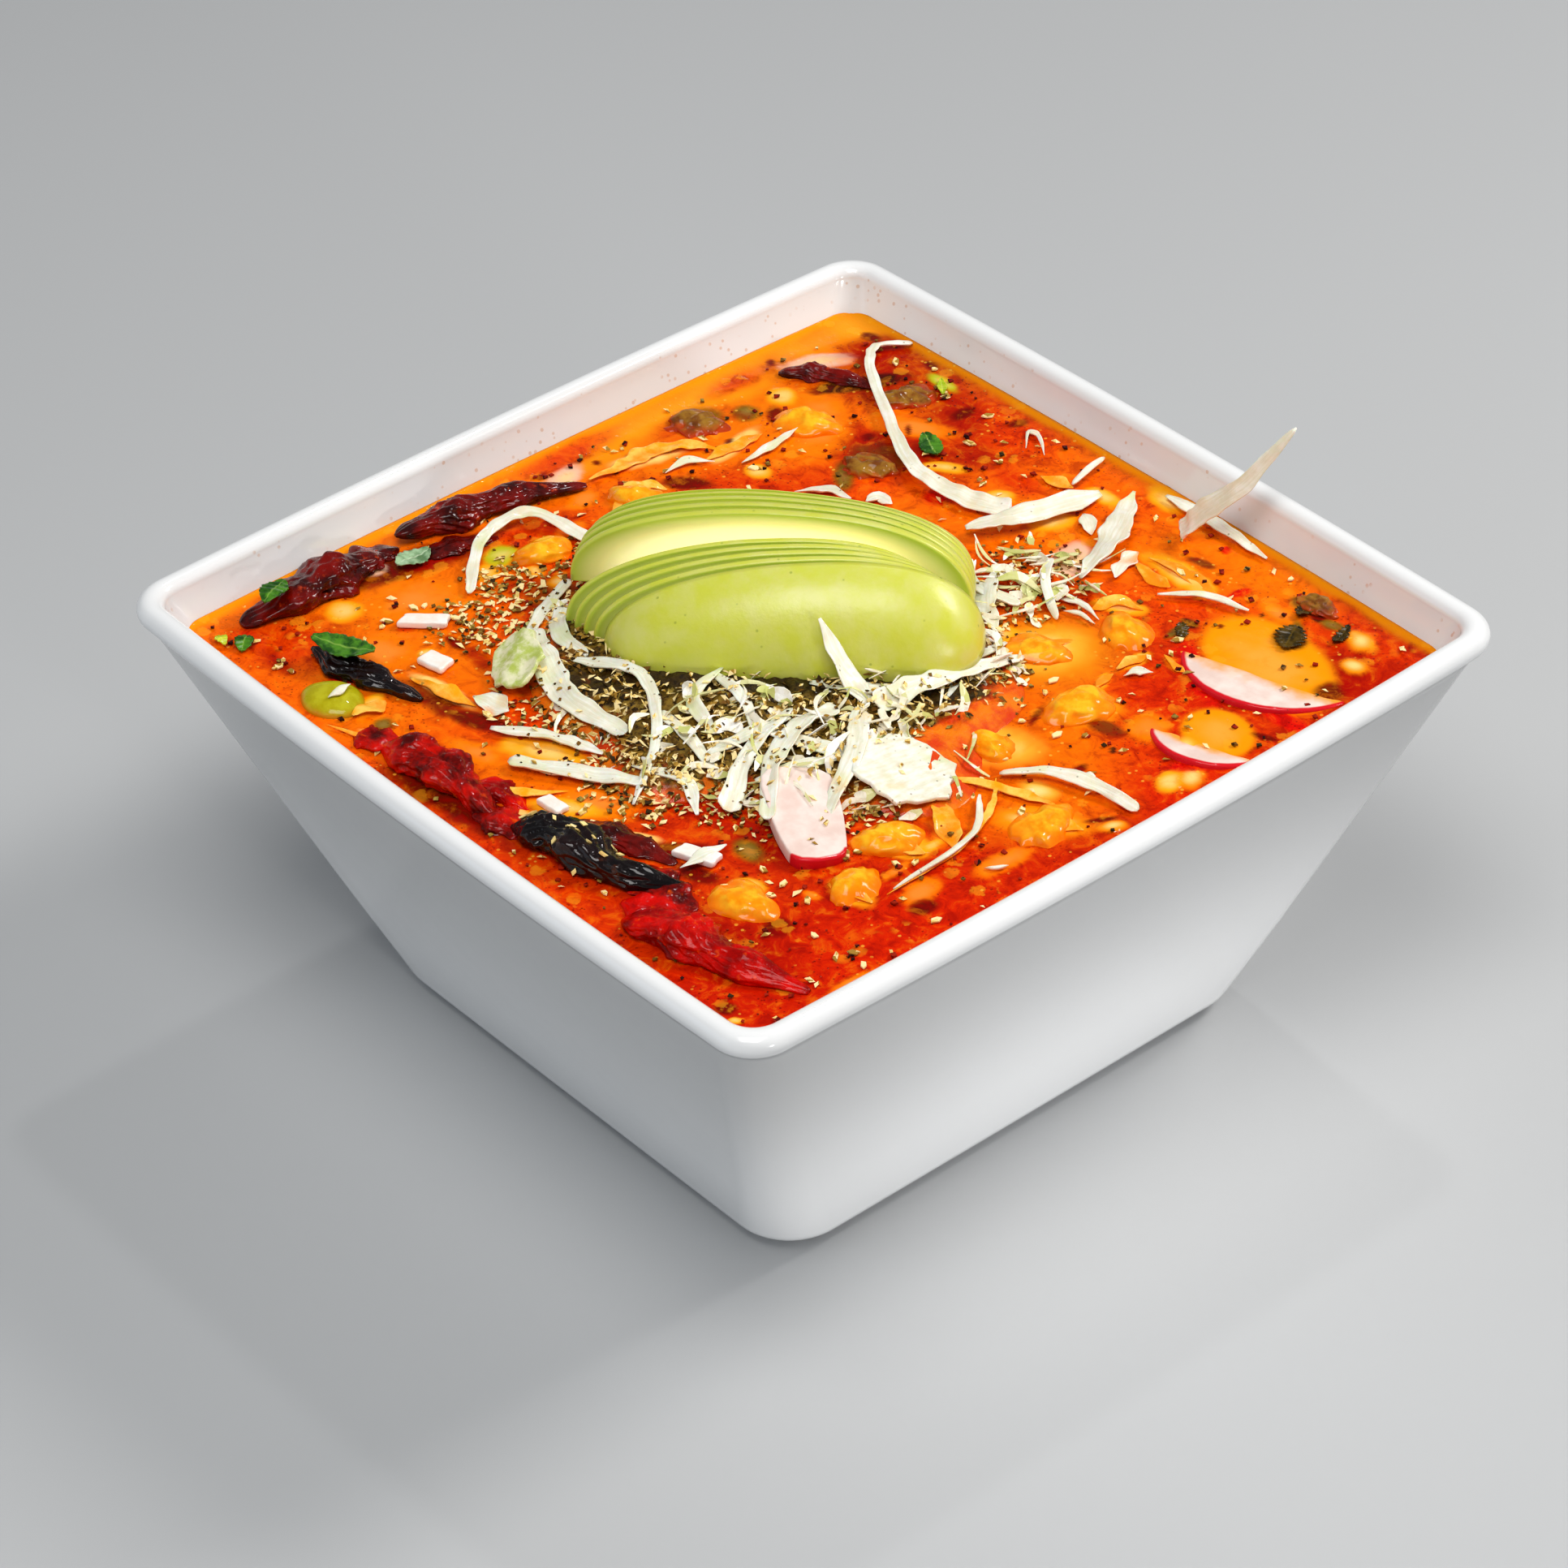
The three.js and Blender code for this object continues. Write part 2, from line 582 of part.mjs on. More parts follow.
// Shreds fused to the core. Each lies on it along a curve through plan points, at a small height.
const SHREDS = [
  // [plan points, height of each point above the core, widths, twist]
  [[[-36, -43], [-17, -49], [3, -50]], [1.2, 1.2, 0.4], [5.5, 5, 3.5], [0, 0.4]],
  [[[-25, -41], [-10, -36], [7, -45], [19, -61]], [0.6, 1.6, 1.2, 0.2], [3, 2.6, 1.6], [0, 0.5]],
  [[[1, -40], [13, -42], [25, -44]], [0.4, 0.6, 0.2], [2.4, 3, 1.6], [0, 0]],
  [[[-20, -66], [-8, -58], [2, -55]], [-0.2, 0.4, 0.4], [3, 3.4, 2.2], [0, 0]],
  [[[-9, -70], [4, -62], [16, -56]], [-0.6, 0.3, 0.4], [4, 4.4, 2.2], [0.1, 0]],
  [[[2, -24], [5, -34], [15, -37]], [1.6, 1.6, 0.3], [2, 3.4, 2.6], [0.5, 0]],
  [[[33, -49], [25, -36], [21, -22]], [0.2, 1.6, 0.8], [5, 3, 2.4], [0.3, -0.3]],
  [[[30, -12], [40, -22], [51, -43]], [1.2, 2.4, 0.8], [4.6, 4, 3], [-0.2, 0.3]],
  [[[24, 2], [31, 8], [39, 20]], [0.8, 1.4, 0.6], [6, 5, 1.2], [0, 0.5]],
  [[[16, -13], [26, -5], [31, 2]], [0.4, 1, 0.6], [3, 4, 2.6], [0, 0]],
  [[[20, -30], [32, -26], [43, -17]], [0.6, 1.2, 0.4], [2.6, 3.4, 2], [0, 0.3]],
  [[[10, -54], [22, -50], [30, -54]], [0.2, 0.8, 0.2], [2.4, 3, 2], [0, 0]],
  [[[-42, -30], [-34, -37], [-24, -38]], [0.5, 1.4, 0.5], [3.4, 4, 2], [0, 0.6]],
  [[[8, 44], [14, 36], [24, 30]], [0.4, 1.2, 0.4], [4, 5, 2.6], [0, 0.4]],
  [[[-4, 40], [8, 38], [20, 40]], [0.2, 1, -0.4], [3, 4, 2.6], [0, 0]],
  [[[36, 6], [30, 18], [28, 29]], [0.2, 0.8, 0.4], [2, 2.6, 2], [0, 0]],
  [[[-50, -22], [-44, -34], [-36, -46]], [-0.2, 0.5, 0.3], [2, 2.6, 2], [0, 0]],
  [[[-28, 30], [-14, 34], [0, 36]], [0, 0.8, 0.3], [3, 4, 3], [0, 0]],
];
const SHRED_THICK = 1.1; // as thick as the loose strands too

function shredOnHeap([plan, rise, widths, twist]) {
  const points = plan.map(([x, y], i) => [x, y, Math.max(heapTop(x, y) + rise[i], FLOAT + SHRED_THICK)]);
  return stripGeometry(points, widths, SHRED_THICK, twist, 4);
}

// One leafy sheet of cabbage with six corners, at the front of the heap.
const sheet = plateGeometry([[11, 1], [5, 10], [-8, 9], [-11, 0], [-6, -9], [6, -9]],
  SHRED_THICK, -0.12, 0.16, 0.1, [49, -17, FLOAT + 3.4]);
// A stiff shred, a piece of its own, that leans against the front of the avocado.
const leaning = stripGeometry([[29, -8, 91], [23.5, -8, 95], [19.5, -8.8, 99.5], [14.5, -8.8, 106]],
  [5, 5.4, 2.6], 1.2, [0, 0.3], 6);
// A pale green leaf on the left.
const greenLeaf = plateGeometry([[9, 0], [4, 6], [-5, 5.5], [-9, 0], [-5, -5], [4, -6]],
  1.2, 0.45, -0.25, -0.6, [-31, -50.5, FLOAT + 4.4]);

// Small flakes of oregano over the open part of the heap, by a spiral that fills it evenly.
function flakes() {
  const random = seeded(7);
  const list = [];
  const count = 19;
  for (let i = 0; i < count; i += 1) {
    const angle = i * 2.399963;
    const share = 0.3 + 0.66 * Math.sqrt((i + 0.5) / count);
    const r = heapRadius(angle) * share;
    const x = HEAP_CENTRE.x + r * Math.cos(angle);
    const y = HEAP_CENTRE.y + r * Math.sin(angle);
    const long = 1.6 + 1.4 * random();
    const turn = random() * Math.PI;
    const tilt = random() * 0.8 - 0.4;
    const outline = [[long, 0], [0, 0.8], [-long, 0], [0, -0.8]];
    list.push(plateGeometry(outline, 0.9, tilt, 0.2, turn, [x, y, heapTop(x, y) + 0.35]));
  }
  return list;
}

let heap = solidOf(heapCore());
for (const geometry of [...SHREDS.map(shredOnHeap), sheet, greenLeaf, ...flakes()]) {
  heap = heap.add(solidOf(geometry));
}
let leaningSolid = solidOf(leaning);
for (const mesh of sliceMeshes) {
  const room = solidOf(sliceRoom(mesh));
  heap = heap.subtract(room);
  leaningSolid = leaningSolid.subtract(room);
}
addMesh('strand_leaning', geometryOf(leaningSolid.simplify(SLIVER)), 0xf3f0e2, 0.4);
for (const geometry of [...sunk, leaning]) {
  heap = heap.subtract(solidOf(grown(geometry, GAP)));
}
const largest = heap.decompose().sort((a, b) => b.volume() - a.volume())[0];
addMesh('cabbage_heap', geometryOf(largest.simplify(SLIVER)), 0xe4e2c4, 0.6);

// ---------------------------------------------------------------- loose strands on the broth

const ON = FLOAT + 0.75; // middle of a strand that lies on the broth
const STRANDS = [
  ['strand_back_curl', [[-70.6, 91, ON], [-74.5, 84.5, ON + 0.5], [-70.5, 78.5, ON + 1],
    [-51, 66.7, ON + 1], [-31, 57, ON + 1.5], [-17, 57.5, ON + 1], [-6.5, 61.5, ON + 0.5]],
    [1.6, 2.6, 5.5], 14],
  ['strand_right_thick', [[-7, 49.5, ON + 1.5], [-2, 60, ON + 2.2], [1.5, 80, ON + 0.5]], [4, 5.5, 5], 8],
  ['strand_right_thin', [[-5, 78, ON + 0.5], [-6.5, 84, ON + 1], [-8, 90, ON + 0.4]], [1.2, 1.4, 0.9], 5],
  ['strand_right_leaf', [[7, 84.5, ON + 1.5], [16, 70, ON + 1.8], [21, 56, ON]], [2, 7.5, 2.2], 7],
  ['strand_over_rim', [[22.5, 83, ON - 0.2], [27.5, 84.5, 94.5], [34.5, 88.2, 103], [40.5, 98, 116]],
    [3.4, 4.6, 1], 8],
  ['strand_right_base', [[11.5, 89.5, ON + 0.5], [27, 89.8, ON + 0.6], [42, 89, ON]], [2.2, 3, 1.4], 6],
  ['strand_straight', [[12, 56, ON + 0.4], [18, 49, ON + 0.9], [28.5, 42.5, ON]], [1.6, 2.2, 1.6], 5],
  ['strand_wavy', [[36, 63.6, ON], [43, 70, ON + 0.4], [53, 73, ON + 0.2]], [1.4, 2, 1.4], 6],
  ['strand_front_right', [[59.5, -1.5, ON], [66, 5, ON + 0.8], [76, 9, ON + 0.6], [86.5, 10.2, ON]],
    [2.2, 3.4, 2.2], 8],
  ['strand_front_thin', [[62, -9, ON], [70.5, -18, ON + 0.4], [73, -41, ON]], [1.4, 1.5, 1.1], 7],
  ['strand_left_arch', [[-60.5, -40, ON], [-73.5, -26, ON + 1.2], [-74, -14, ON + 1.6],
    [-59, -9.5, ON + 0.3]], [2.4, 2.6, 3.2], 9],
];
for (const [name, points, widths, steps] of STRANDS) {
  addMesh(name, stripGeometry(points, widths, SHRED_THICK, [0, 0.25], steps), 0xf3f0e2, 0.4);
}

// Bits of onion that lie on the broth, and herb leaves that lie on the broth or on a chilli.
const ONION_THICK = 1.5;
const ONIONS = [
  [-59, -53, 5.6, 2.2, 0.9], [-46, -60, 3.6, 2.8, 0.4], [39.5, -62, 5, 2.3, 0.5], [8, -72.5, 3.4, 2, 0.2],
];
ONIONS.forEach(([x, y, rx, ry, turn], i) => {
  const outline = [[rx, ry * 0.6], [-rx * 0.8, ry], [-rx, -ry * 0.7], [rx * 0.9, -ry]];
  const place = [x, y, FLOAT + ONION_THICK / 2];
  addMesh(`onion_${i + 1}`, plateGeometry(outline, ONION_THICK, 0, 0, turn, place), 0xf4ece0, 0.3);
});
const LEAVES = [
  [[-82.5, -73.2, 93.7], 9, 5.5, 0.5], [[-78.6, -40.8, FLOAT + 0.9], 9, 6, 0.1],
  [[-58, -73.8, 93], 14, 7, -1.1], [[-37, 66.5, FLOAT + 0.9], 8, 5, 1.2],
  [[65.5, 72.5, FLOAT + 0.9], 7, 5.5, 0.4],
];
LEAVES.forEach(([place, length, width, turn], i) => {
  addMesh(`leaf_${i + 1}`, leafGeometry(place, length, width, turn, i), 0x2f6b1e, 0.4);
});

export default scene;
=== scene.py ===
# %% [markdown]
# # A bowl of red hominy soup
# A plain, faceted model of the bowl and of every piece of food in it comes first, as a fixed frame.
# This lesson builds the fine surfaces over that frame, piece by piece: glazed clay, red broth, a fan of
# avocado, shredded cabbage under dried oregano, dried chillies, radish and swollen kernels. Lengths in
# the tables are millimetres, because food is easier to think of in millimetres than in metres.

# %% Load the frame
import math
import bpy
import bmesh
import numpy as np
from mathutils import Matrix, Vector, noise


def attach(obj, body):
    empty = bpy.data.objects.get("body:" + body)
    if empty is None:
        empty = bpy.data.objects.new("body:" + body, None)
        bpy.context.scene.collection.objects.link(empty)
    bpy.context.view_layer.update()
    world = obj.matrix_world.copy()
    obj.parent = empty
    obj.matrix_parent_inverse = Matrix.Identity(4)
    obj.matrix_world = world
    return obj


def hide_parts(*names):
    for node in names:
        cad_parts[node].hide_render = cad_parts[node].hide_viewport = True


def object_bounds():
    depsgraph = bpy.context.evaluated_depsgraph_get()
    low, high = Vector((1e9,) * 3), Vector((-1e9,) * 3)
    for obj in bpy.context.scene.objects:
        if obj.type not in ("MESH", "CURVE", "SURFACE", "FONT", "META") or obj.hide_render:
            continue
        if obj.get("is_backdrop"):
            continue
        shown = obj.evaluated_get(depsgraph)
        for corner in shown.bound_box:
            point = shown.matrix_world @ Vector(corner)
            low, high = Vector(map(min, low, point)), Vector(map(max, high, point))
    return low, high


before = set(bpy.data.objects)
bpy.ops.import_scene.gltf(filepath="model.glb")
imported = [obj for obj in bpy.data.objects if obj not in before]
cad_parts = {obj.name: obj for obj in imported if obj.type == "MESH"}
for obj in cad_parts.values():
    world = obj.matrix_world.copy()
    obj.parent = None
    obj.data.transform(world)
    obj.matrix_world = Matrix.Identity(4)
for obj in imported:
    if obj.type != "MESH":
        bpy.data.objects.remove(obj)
cad_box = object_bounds()
MM = 0.001
print("nodes in the frame:", len(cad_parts))

# %% [markdown]
# ## The camera
# The picture is a square frame taken from above one corner of the bowl with a long lens. A long lens
# far away keeps the sides of the bowl nearly parallel. The three arrows are the camera's own right, up
# and back, so they are the columns of its rotation.

# %% Place the camera
def new_object(name, data):
    piece = bpy.data.objects.new(name, data)
    bpy.context.collection.objects.link(piece)
    return piece


RIGHT, UP, BACK = (0.64829, 0.76083, -0.02942), (-0.44068, 0.40645, 0.80037), (0.6209, -0.50591, 0.59878)
lens = bpy.data.cameras.new("camera")
lens.lens = 121.62
lens.sensor_width = 36
lens.sensor_fit = "HORIZONTAL"
lens.clip_start = 0.05
camera = new_object("camera", lens)
place = Matrix((RIGHT, UP, BACK)).transposed().to_4x4()
place.translation = Vector((677.15, -559.26, 709.32)) * MM
camera.matrix_world = place
bpy.context.scene.camera = camera
print("camera at", [round(c, 3) for c in place.translation])

# %% [markdown]
# ## Colours and node sheets
# A shader wants colours in linear light, while a colour is easiest to name as it looks on a screen.
# Node graphs are drawn by hand in Blender's editor, but a script reads better when a mask can be written
# as `1 - dust * 0.5`. The small class below wraps a socket, and each sign adds its own Math node.

# %% A colour as it looks on a screen
def shade(red, green, blue):
    linear = [c / 255 / 12.92 if c < 11 else ((c / 255 + 0.055) / 1.055) ** 2.4 for c in (red, green, blue)]
    return (*linear, 1.0)


print("deep broth red is", [round(c, 3) for c in shade(200, 40, 4)])


# %% A socket that Python can add and multiply
class Wire:
    def __init__(self, sheet, socket):
        self.sheet, self.socket = sheet, socket

    def maths(self, operation, first, second):
        return self.sheet.add("ShaderNodeMath", {"operation": operation}, {0: first, 1: second})

    def __add__(self, other):
        return self.maths("ADD", self, other)

    def __sub__(self, other):
        return self.maths("SUBTRACT", self, other)

    def __rsub__(self, other):
        return self.maths("SUBTRACT", other, self)

    def __mul__(self, other):
        return self.maths("MULTIPLY", self, other)

    __radd__ = __add__
    __rmul__ = __mul__


# %% A sheet of nodes
class Sheet:
    def __init__(self, tree):
        self.nodes, self.links = tree.nodes, tree.links

    def add(self, kind, settings, values, out=0):
        node = self.nodes.new(kind)
        for name, value in settings.items():
            setattr(node, name, value)
        for name, value in values.items():
            if isinstance(value, Wire):
                self.links.new(value.socket, node.inputs[name])
            else:
                node.inputs[name].default_value = value
        return Wire(self, node.outputs[out])


# %% A finish: one material with its own sheet
class Finish(Sheet):
    def __init__(self, name, **constants):
        self.material = bpy.data.materials.new(name)
        self.material.use_nodes = True
        super().__init__(self.material.node_tree)
        self.surface = self.nodes["Principled BSDF"]
        for socket, value in constants.items():
            self.surface.inputs[socket.replace("_", " ")].default_value = value
        self.spot = self.add("ShaderNodeTexCoord", {}, {}, out="Object")

    def noise(self, size_mm, detail=3.0, rough=0.55, warp=0.0, at=None):
        values = {"Vector": at or self.spot, "Scale": 1 / (size_mm * MM), "Detail": detail, "Roughness": rough}
        return self.add("ShaderNodeTexNoise", {}, {**values, "Distortion": warp})

    def cells(self, size_mm, out="Distance"):
        values = {"Vector": self.spot, "Scale": 1 / (size_mm * MM)}
        return self.add("ShaderNodeTexVoronoi", {}, values, out=out)

    def pick(self, size_mm):
        """One random number for each small cell of space, so that neighbouring flakes differ."""
        return self.add("ShaderNodeSeparateColor", {}, {"Color": self.cells(size_mm, "Color")})

    def fade(self, value, low, high):
        values = {"Value": value, "From Min": low, "From Max": high}
        return self.add("ShaderNodeMapRange", {"interpolation_type": "SMOOTHSTEP"}, values)

    def patches(self, size_mm, detail, low, high, rough=0.55, warp=0.0):
        """Soft-edged blots of noise: 1 inside them and 0 between."""
        return self.fade(self.noise(size_mm, detail, rough, warp), low, high)

    def mix(self, share, first, second):
        """Two colours, each a wire or three numbers as on a screen, mixed by a share."""
        first, second = (shade(*c) if isinstance(c, tuple) else c for c in (first, second))
        return self.add("ShaderNodeMix", {"data_type": "RGBA"}, {0: share, 6: first, 7: second}, out=2)

    def own(self, name, out="Fac"):
        return self.add("ShaderNodeAttribute", {"attribute_name": name}, {}, out=out)

    def height(self):
        return self.add("ShaderNodeSeparateXYZ", {}, {"Vector": self.spot}, out="Z")

    def feed(self, **wires):
        for socket, wire in wires.items():
            self.links.new(wire.socket, self.surface.inputs[socket.replace("_", " ")])

    def bump(self, wire, depth_mm, strength=1.0):
        values = {"Height": wire, "Distance": depth_mm * MM, "Strength": strength}
        self.feed(Normal=self.add("ShaderNodeBump", {}, values))


print("a finish takes Python sums")

# %% [markdown]
# ## Meshes from rings
# Most of the food and the bowl too are skins stretched over rings of points, like hoops under cloth.
# `loft` joins the hoops, and `dress` turns the result into an object that rides on the frame and stands
# for its plain node. Curves between a few given points give each strand its route.

# %% Stretch a skin over rings
def loft(rings):
    count = len(rings[0])
    points = [tuple(p) for ring in rings for p in ring]
    faces = []
    for i in range(len(rings) - 1):
        for j in range(count):
            a, b = i * count + j, i * count + (j + 1) % count
            faces.append((a, b, b + count, a + count))
    for end in (0, len(rings) - 1):
        centre = len(points)
        points.append(tuple(np.mean(np.array(rings[end]), axis=0)))
        first = end * count
        faces += [(first + j, first + (j + 1) % count, centre) for j in range(count)]
    return points, faces


# %% Make an object that rides on the frame
def new_mesh(name, points, faces, marks):
    """A mesh from points in millimetres, with a value or a colour on each point for every mark."""
    mesh = bpy.data.meshes.new(name)
    mesh.from_pydata([tuple(c * MM for c in p) for p in points], [], faces)
    for mark, values in marks.items():
        kind, field = ("FLOAT_COLOR", "color") if len(np.shape(values)) > 1 else ("FLOAT", "value")
        layer = mesh.attributes.new(mark, kind, "POINT").data
        layer.foreach_set(field, np.asarray(values, dtype=np.float32).ravel())
    return mesh


def settle(name, mesh, finish, replaced=(), smooth=True):
    """Faces turned outwards, one finish, and a ride on the frame in place of the plain nodes."""
    shell = bmesh.new()
    shell.from_mesh(mesh)
    bmesh.ops.recalc_face_normals(shell, faces=shell.faces)
    shell.to_mesh(mesh)
    shell.free()
    mesh.polygons.foreach_set("use_smooth", [smooth] * len(mesh.polygons))
    mesh.materials.clear()
    mesh.materials.append(finish.material)
    piece = new_object(name, mesh)
    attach(piece, "root")
    if replaced:
        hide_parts(*replaced)
    return piece


def dress(name, points, faces, finish, slot, replaced=(), smooth=True, **marks):
    return settle(name, new_mesh(name, points, faces, marks), finish, replaced, smooth)


# %% A smooth route through a few points
def route(points):
    given = [np.array(p, dtype=float) for p in points]
    knots = [2 * given[0] - given[1], *given, 2 * given[-1] - given[-2]]

    def at(t):
        share = t * (len(given) - 1)
        i = min(int(share), len(given) - 2)
        w = share - i
        p0, p1, p2, p3 = knots[i:i + 4]
        d0, d1, d2 = (max(np.sum((b - a) ** 2) ** 0.25, 1e-4) for a, b in ((p0, p1), (p1, p2), (p2, p3)))
        m1 = ((p1 - p0) / d0 - (p2 - p0) / (d0 + d1) + (p2 - p1) / d1) * d1
        m2 = ((p2 - p1) / d1 - (p3 - p1) / (d1 + d2) + (p3 - p2) / d2) * d1
        return p1 + m1 * w + (3 * (p2 - p1) - 2 * m1 - m2) * w ** 2 + (2 * (p1 - p2) + m1 + m2) * w ** 3

    def along(t):
        ahead = at(min(t + 0.002, 1)) - at(max(t - 0.002, 0))
        return at(t), ahead / np.linalg.norm(ahead)

    return along


def mix_up(low, high, share):
    return low + (high - low) * share


print("route through three points, halfway:", route([(0, 0, 0), (5, 5, 0), (10, 0, 0)])(0.5)[0].round(2))

# %% [markdown]
# ## The glazed bowl
# The bowl is stoneware, pressed in a mould and dipped in white glaze: a square with soft corners whose
# sides swell a little, a rounded foot and a rolled lip. Its walls stay as one loft, because a loft gives
# the lip a clean round bead where a bevel on a box would pinch at the corners.

# %% Sizes of the bowl
RIM_HALF, BASE_HALF, HEIGHT, WALL, FLOOR = 100, 64.2, 96.8, 5, 6
RIM_CORNER, BASE_CORNER, FILLET, SIDE_BOW = 9.75, 12.5, 9, 1.4
LIP_RADIUS, LIP_OVERHANG, LIP_HOOPS, LEVEL = 2.75, 1.8, 25, 87.5
SLOPE = (RIM_HALF - LIP_OVERHANG - BASE_HALF) / (HEIGHT - 2 * LIP_RADIUS)


def inner_half(z):
    return BASE_HALF + SLOPE * z - WALL


def square_ring(half, corner, z, corner_steps=12, side_steps=16):
    reach, bow, row = half - corner, SIDE_BOW * min(z / HEIGHT, 1), []
    for i in range(corner_steps + 1):
        angle = i / corner_steps * math.pi / 2
        row.append((reach + corner * math.cos(angle), reach + corner * math.sin(angle)))
    for i in range(1, side_steps):
        along = 1 - 2 * i / side_steps
        row.append((reach * along, half + bow * (1 - along ** 2)))
    turns = ((1, 0), (0, 1), (-1, 0), (0, -1))
    return [(c * x - s * y, s * x + c * y, z) for c, s in turns for x, y in row]


print("wall leans out by", round(SLOPE, 3), "for each millimetre up")


# %% Stretch the bowl over its hoops
def corner_at(z):
    return mix_up(BASE_CORNER, RIM_CORNER, z / HEIGHT)


def foot(half, z, steps):
    lean = math.pi / 2 - math.atan(SLOPE)
    reach = FILLET * math.tan(lean / 2)
    turns = [i / steps * lean for i in range(steps + 1)]
    return [(half - reach + FILLET * math.sin(a), z + FILLET * (1 - math.cos(a))) for a in turns]


hoops = [square_ring(half, BASE_CORNER - (BASE_HALF - half) * 0.5, z) for half, z in foot(BASE_HALF, 0, 8)]
hoops += [square_ring(BASE_HALF + SLOPE * z, corner_at(z), z) for z in (25, 45, 65, 82, 89)]
for i in range(LIP_HOOPS):
    angle = math.radians(mix_up(-70, 180, i / (LIP_HOOPS - 1)))
    half = RIM_HALF - LIP_RADIUS + LIP_RADIUS * math.cos(angle)
    z = HEIGHT - LIP_RADIUS + LIP_RADIUS * math.sin(angle)
    hoops.append(square_ring(half, RIM_CORNER - (RIM_HALF - half) * 0.75, z))
outer_hoops = len(hoops) - 3
hoops += [square_ring(inner_half(z), corner_at(z) - WALL * 0.75, z) for z in (90, 87, 70, 45, 25)]
hoops += [square_ring(half, BASE_CORNER - 4, z) for half, z in reversed(foot(inner_half(FLOOR), FLOOR, 6))]

glaze = Finish("white_glaze", IOR=1.5, Coat_Weight=0.4, Coat_Roughness=0.03)
inside = glaze.own("inside")
within = glaze.mix(glaze.patches(60, 2, 0.35, 0.65), (236, 236, 234), (230, 231, 232))
# Painted light and shade: the outer faces are near white at the foot for bounced light and grey towards the top for the
# shade under the lip; the lip turns back to white.
outer = glaze.mix(glaze.fade(glaze.height(), 10 * MM, 90 * MM), (253, 253, 253), (196, 196, 196))
outer = glaze.mix(glaze.fade(glaze.height(), 91 * MM, 93.5 * MM), outer, (240, 240, 240))
up_wall = glaze.fade(glaze.height(), (LEVEL - 2) * MM, (LEVEL + 1) * MM)
splash = glaze.fade(glaze.cells(2.2), 0.24, 0.14) * glaze.patches(9, 2, 0.46, 0.6) * up_wall
tone = glaze.mix(splash * inside * 0.5, glaze.mix(inside, outer, within), (206, 150, 96))
glaze.feed(Base_Color=tone, Roughness=glaze.noise(25, 2) * 0.08 + 0.1)
glaze.bump(glaze.noise(18, 2), 0.05)
hoop_points, hoop_faces = loft(hoops)
inner = [float(i // len(hoops[0]) >= outer_hoops) for i in range(len(hoop_points))]
bowl = dress("glazed_bowl", hoop_points, hoop_faces, glaze, "white_glaze", ["bowl"], inside=inner)
print("bowl faces:", len(bowl.data.polygons))

# %% [markdown]
# ## Broth with what lies sunk in it
# Broth is never one red. Oil floats yellow along the walls, kernels glow orange just under the surface,
# and softened chilli skins show as dark patches. Each sunk thing is one line of the table: its middle,
# its two half sizes, its turn and its kind. The surface is a fine sheet of points, each of which takes
# its colour from the things that lie beneath it and swells a little over them, as a film of oil does.

# %% What lies just under the surface
SUNK_KINDS = {  # kind: (colour, blur of its outline, painted highlight at its heart, swell in millimetres)
    "amber": ((250, 118, 3), 1, 0, 0), "gold": ((255, 160, 18), 1, 0, 0), "fire": ((218, 34, 1), 1, 0, 0),
    "blood": ((168, 6, 1), 0.9, 0, 0), "wine": ((96, 8, 4), 0.5, 0, 0), "black": ((30, 14, 8), 0.25, 0, 0.1),
    "kernel": ((255, 152, 12), 0.5, 0.8, 0.3), "pale": ((255, 180, 50), 0.6, 0.9, 0.3),
    "orange": ((255, 124, 3), 0.35, 0.1, 0.1), "yellow": ((255, 172, 20), 0.3, 0.6, 0.2),
    "red": ((222, 12, 5), 0.35, 0, 0.1), "brown": ((122, 52, 12), 0.35, 0, 0.1),
    "olive": ((116, 92, 18), 0.5, 0.1, 0.1), "rose": ((240, 190, 160), 0.3, 0.5, 0.15),
    "cream": ((255, 208, 110), 0.3, 0.9, 0.25), "lime": ((184, 190, 26), 0.35, 0.5, 0.2),
    "disc": ((255, 154, 4), 0.08, 0.15, 0.1),
}
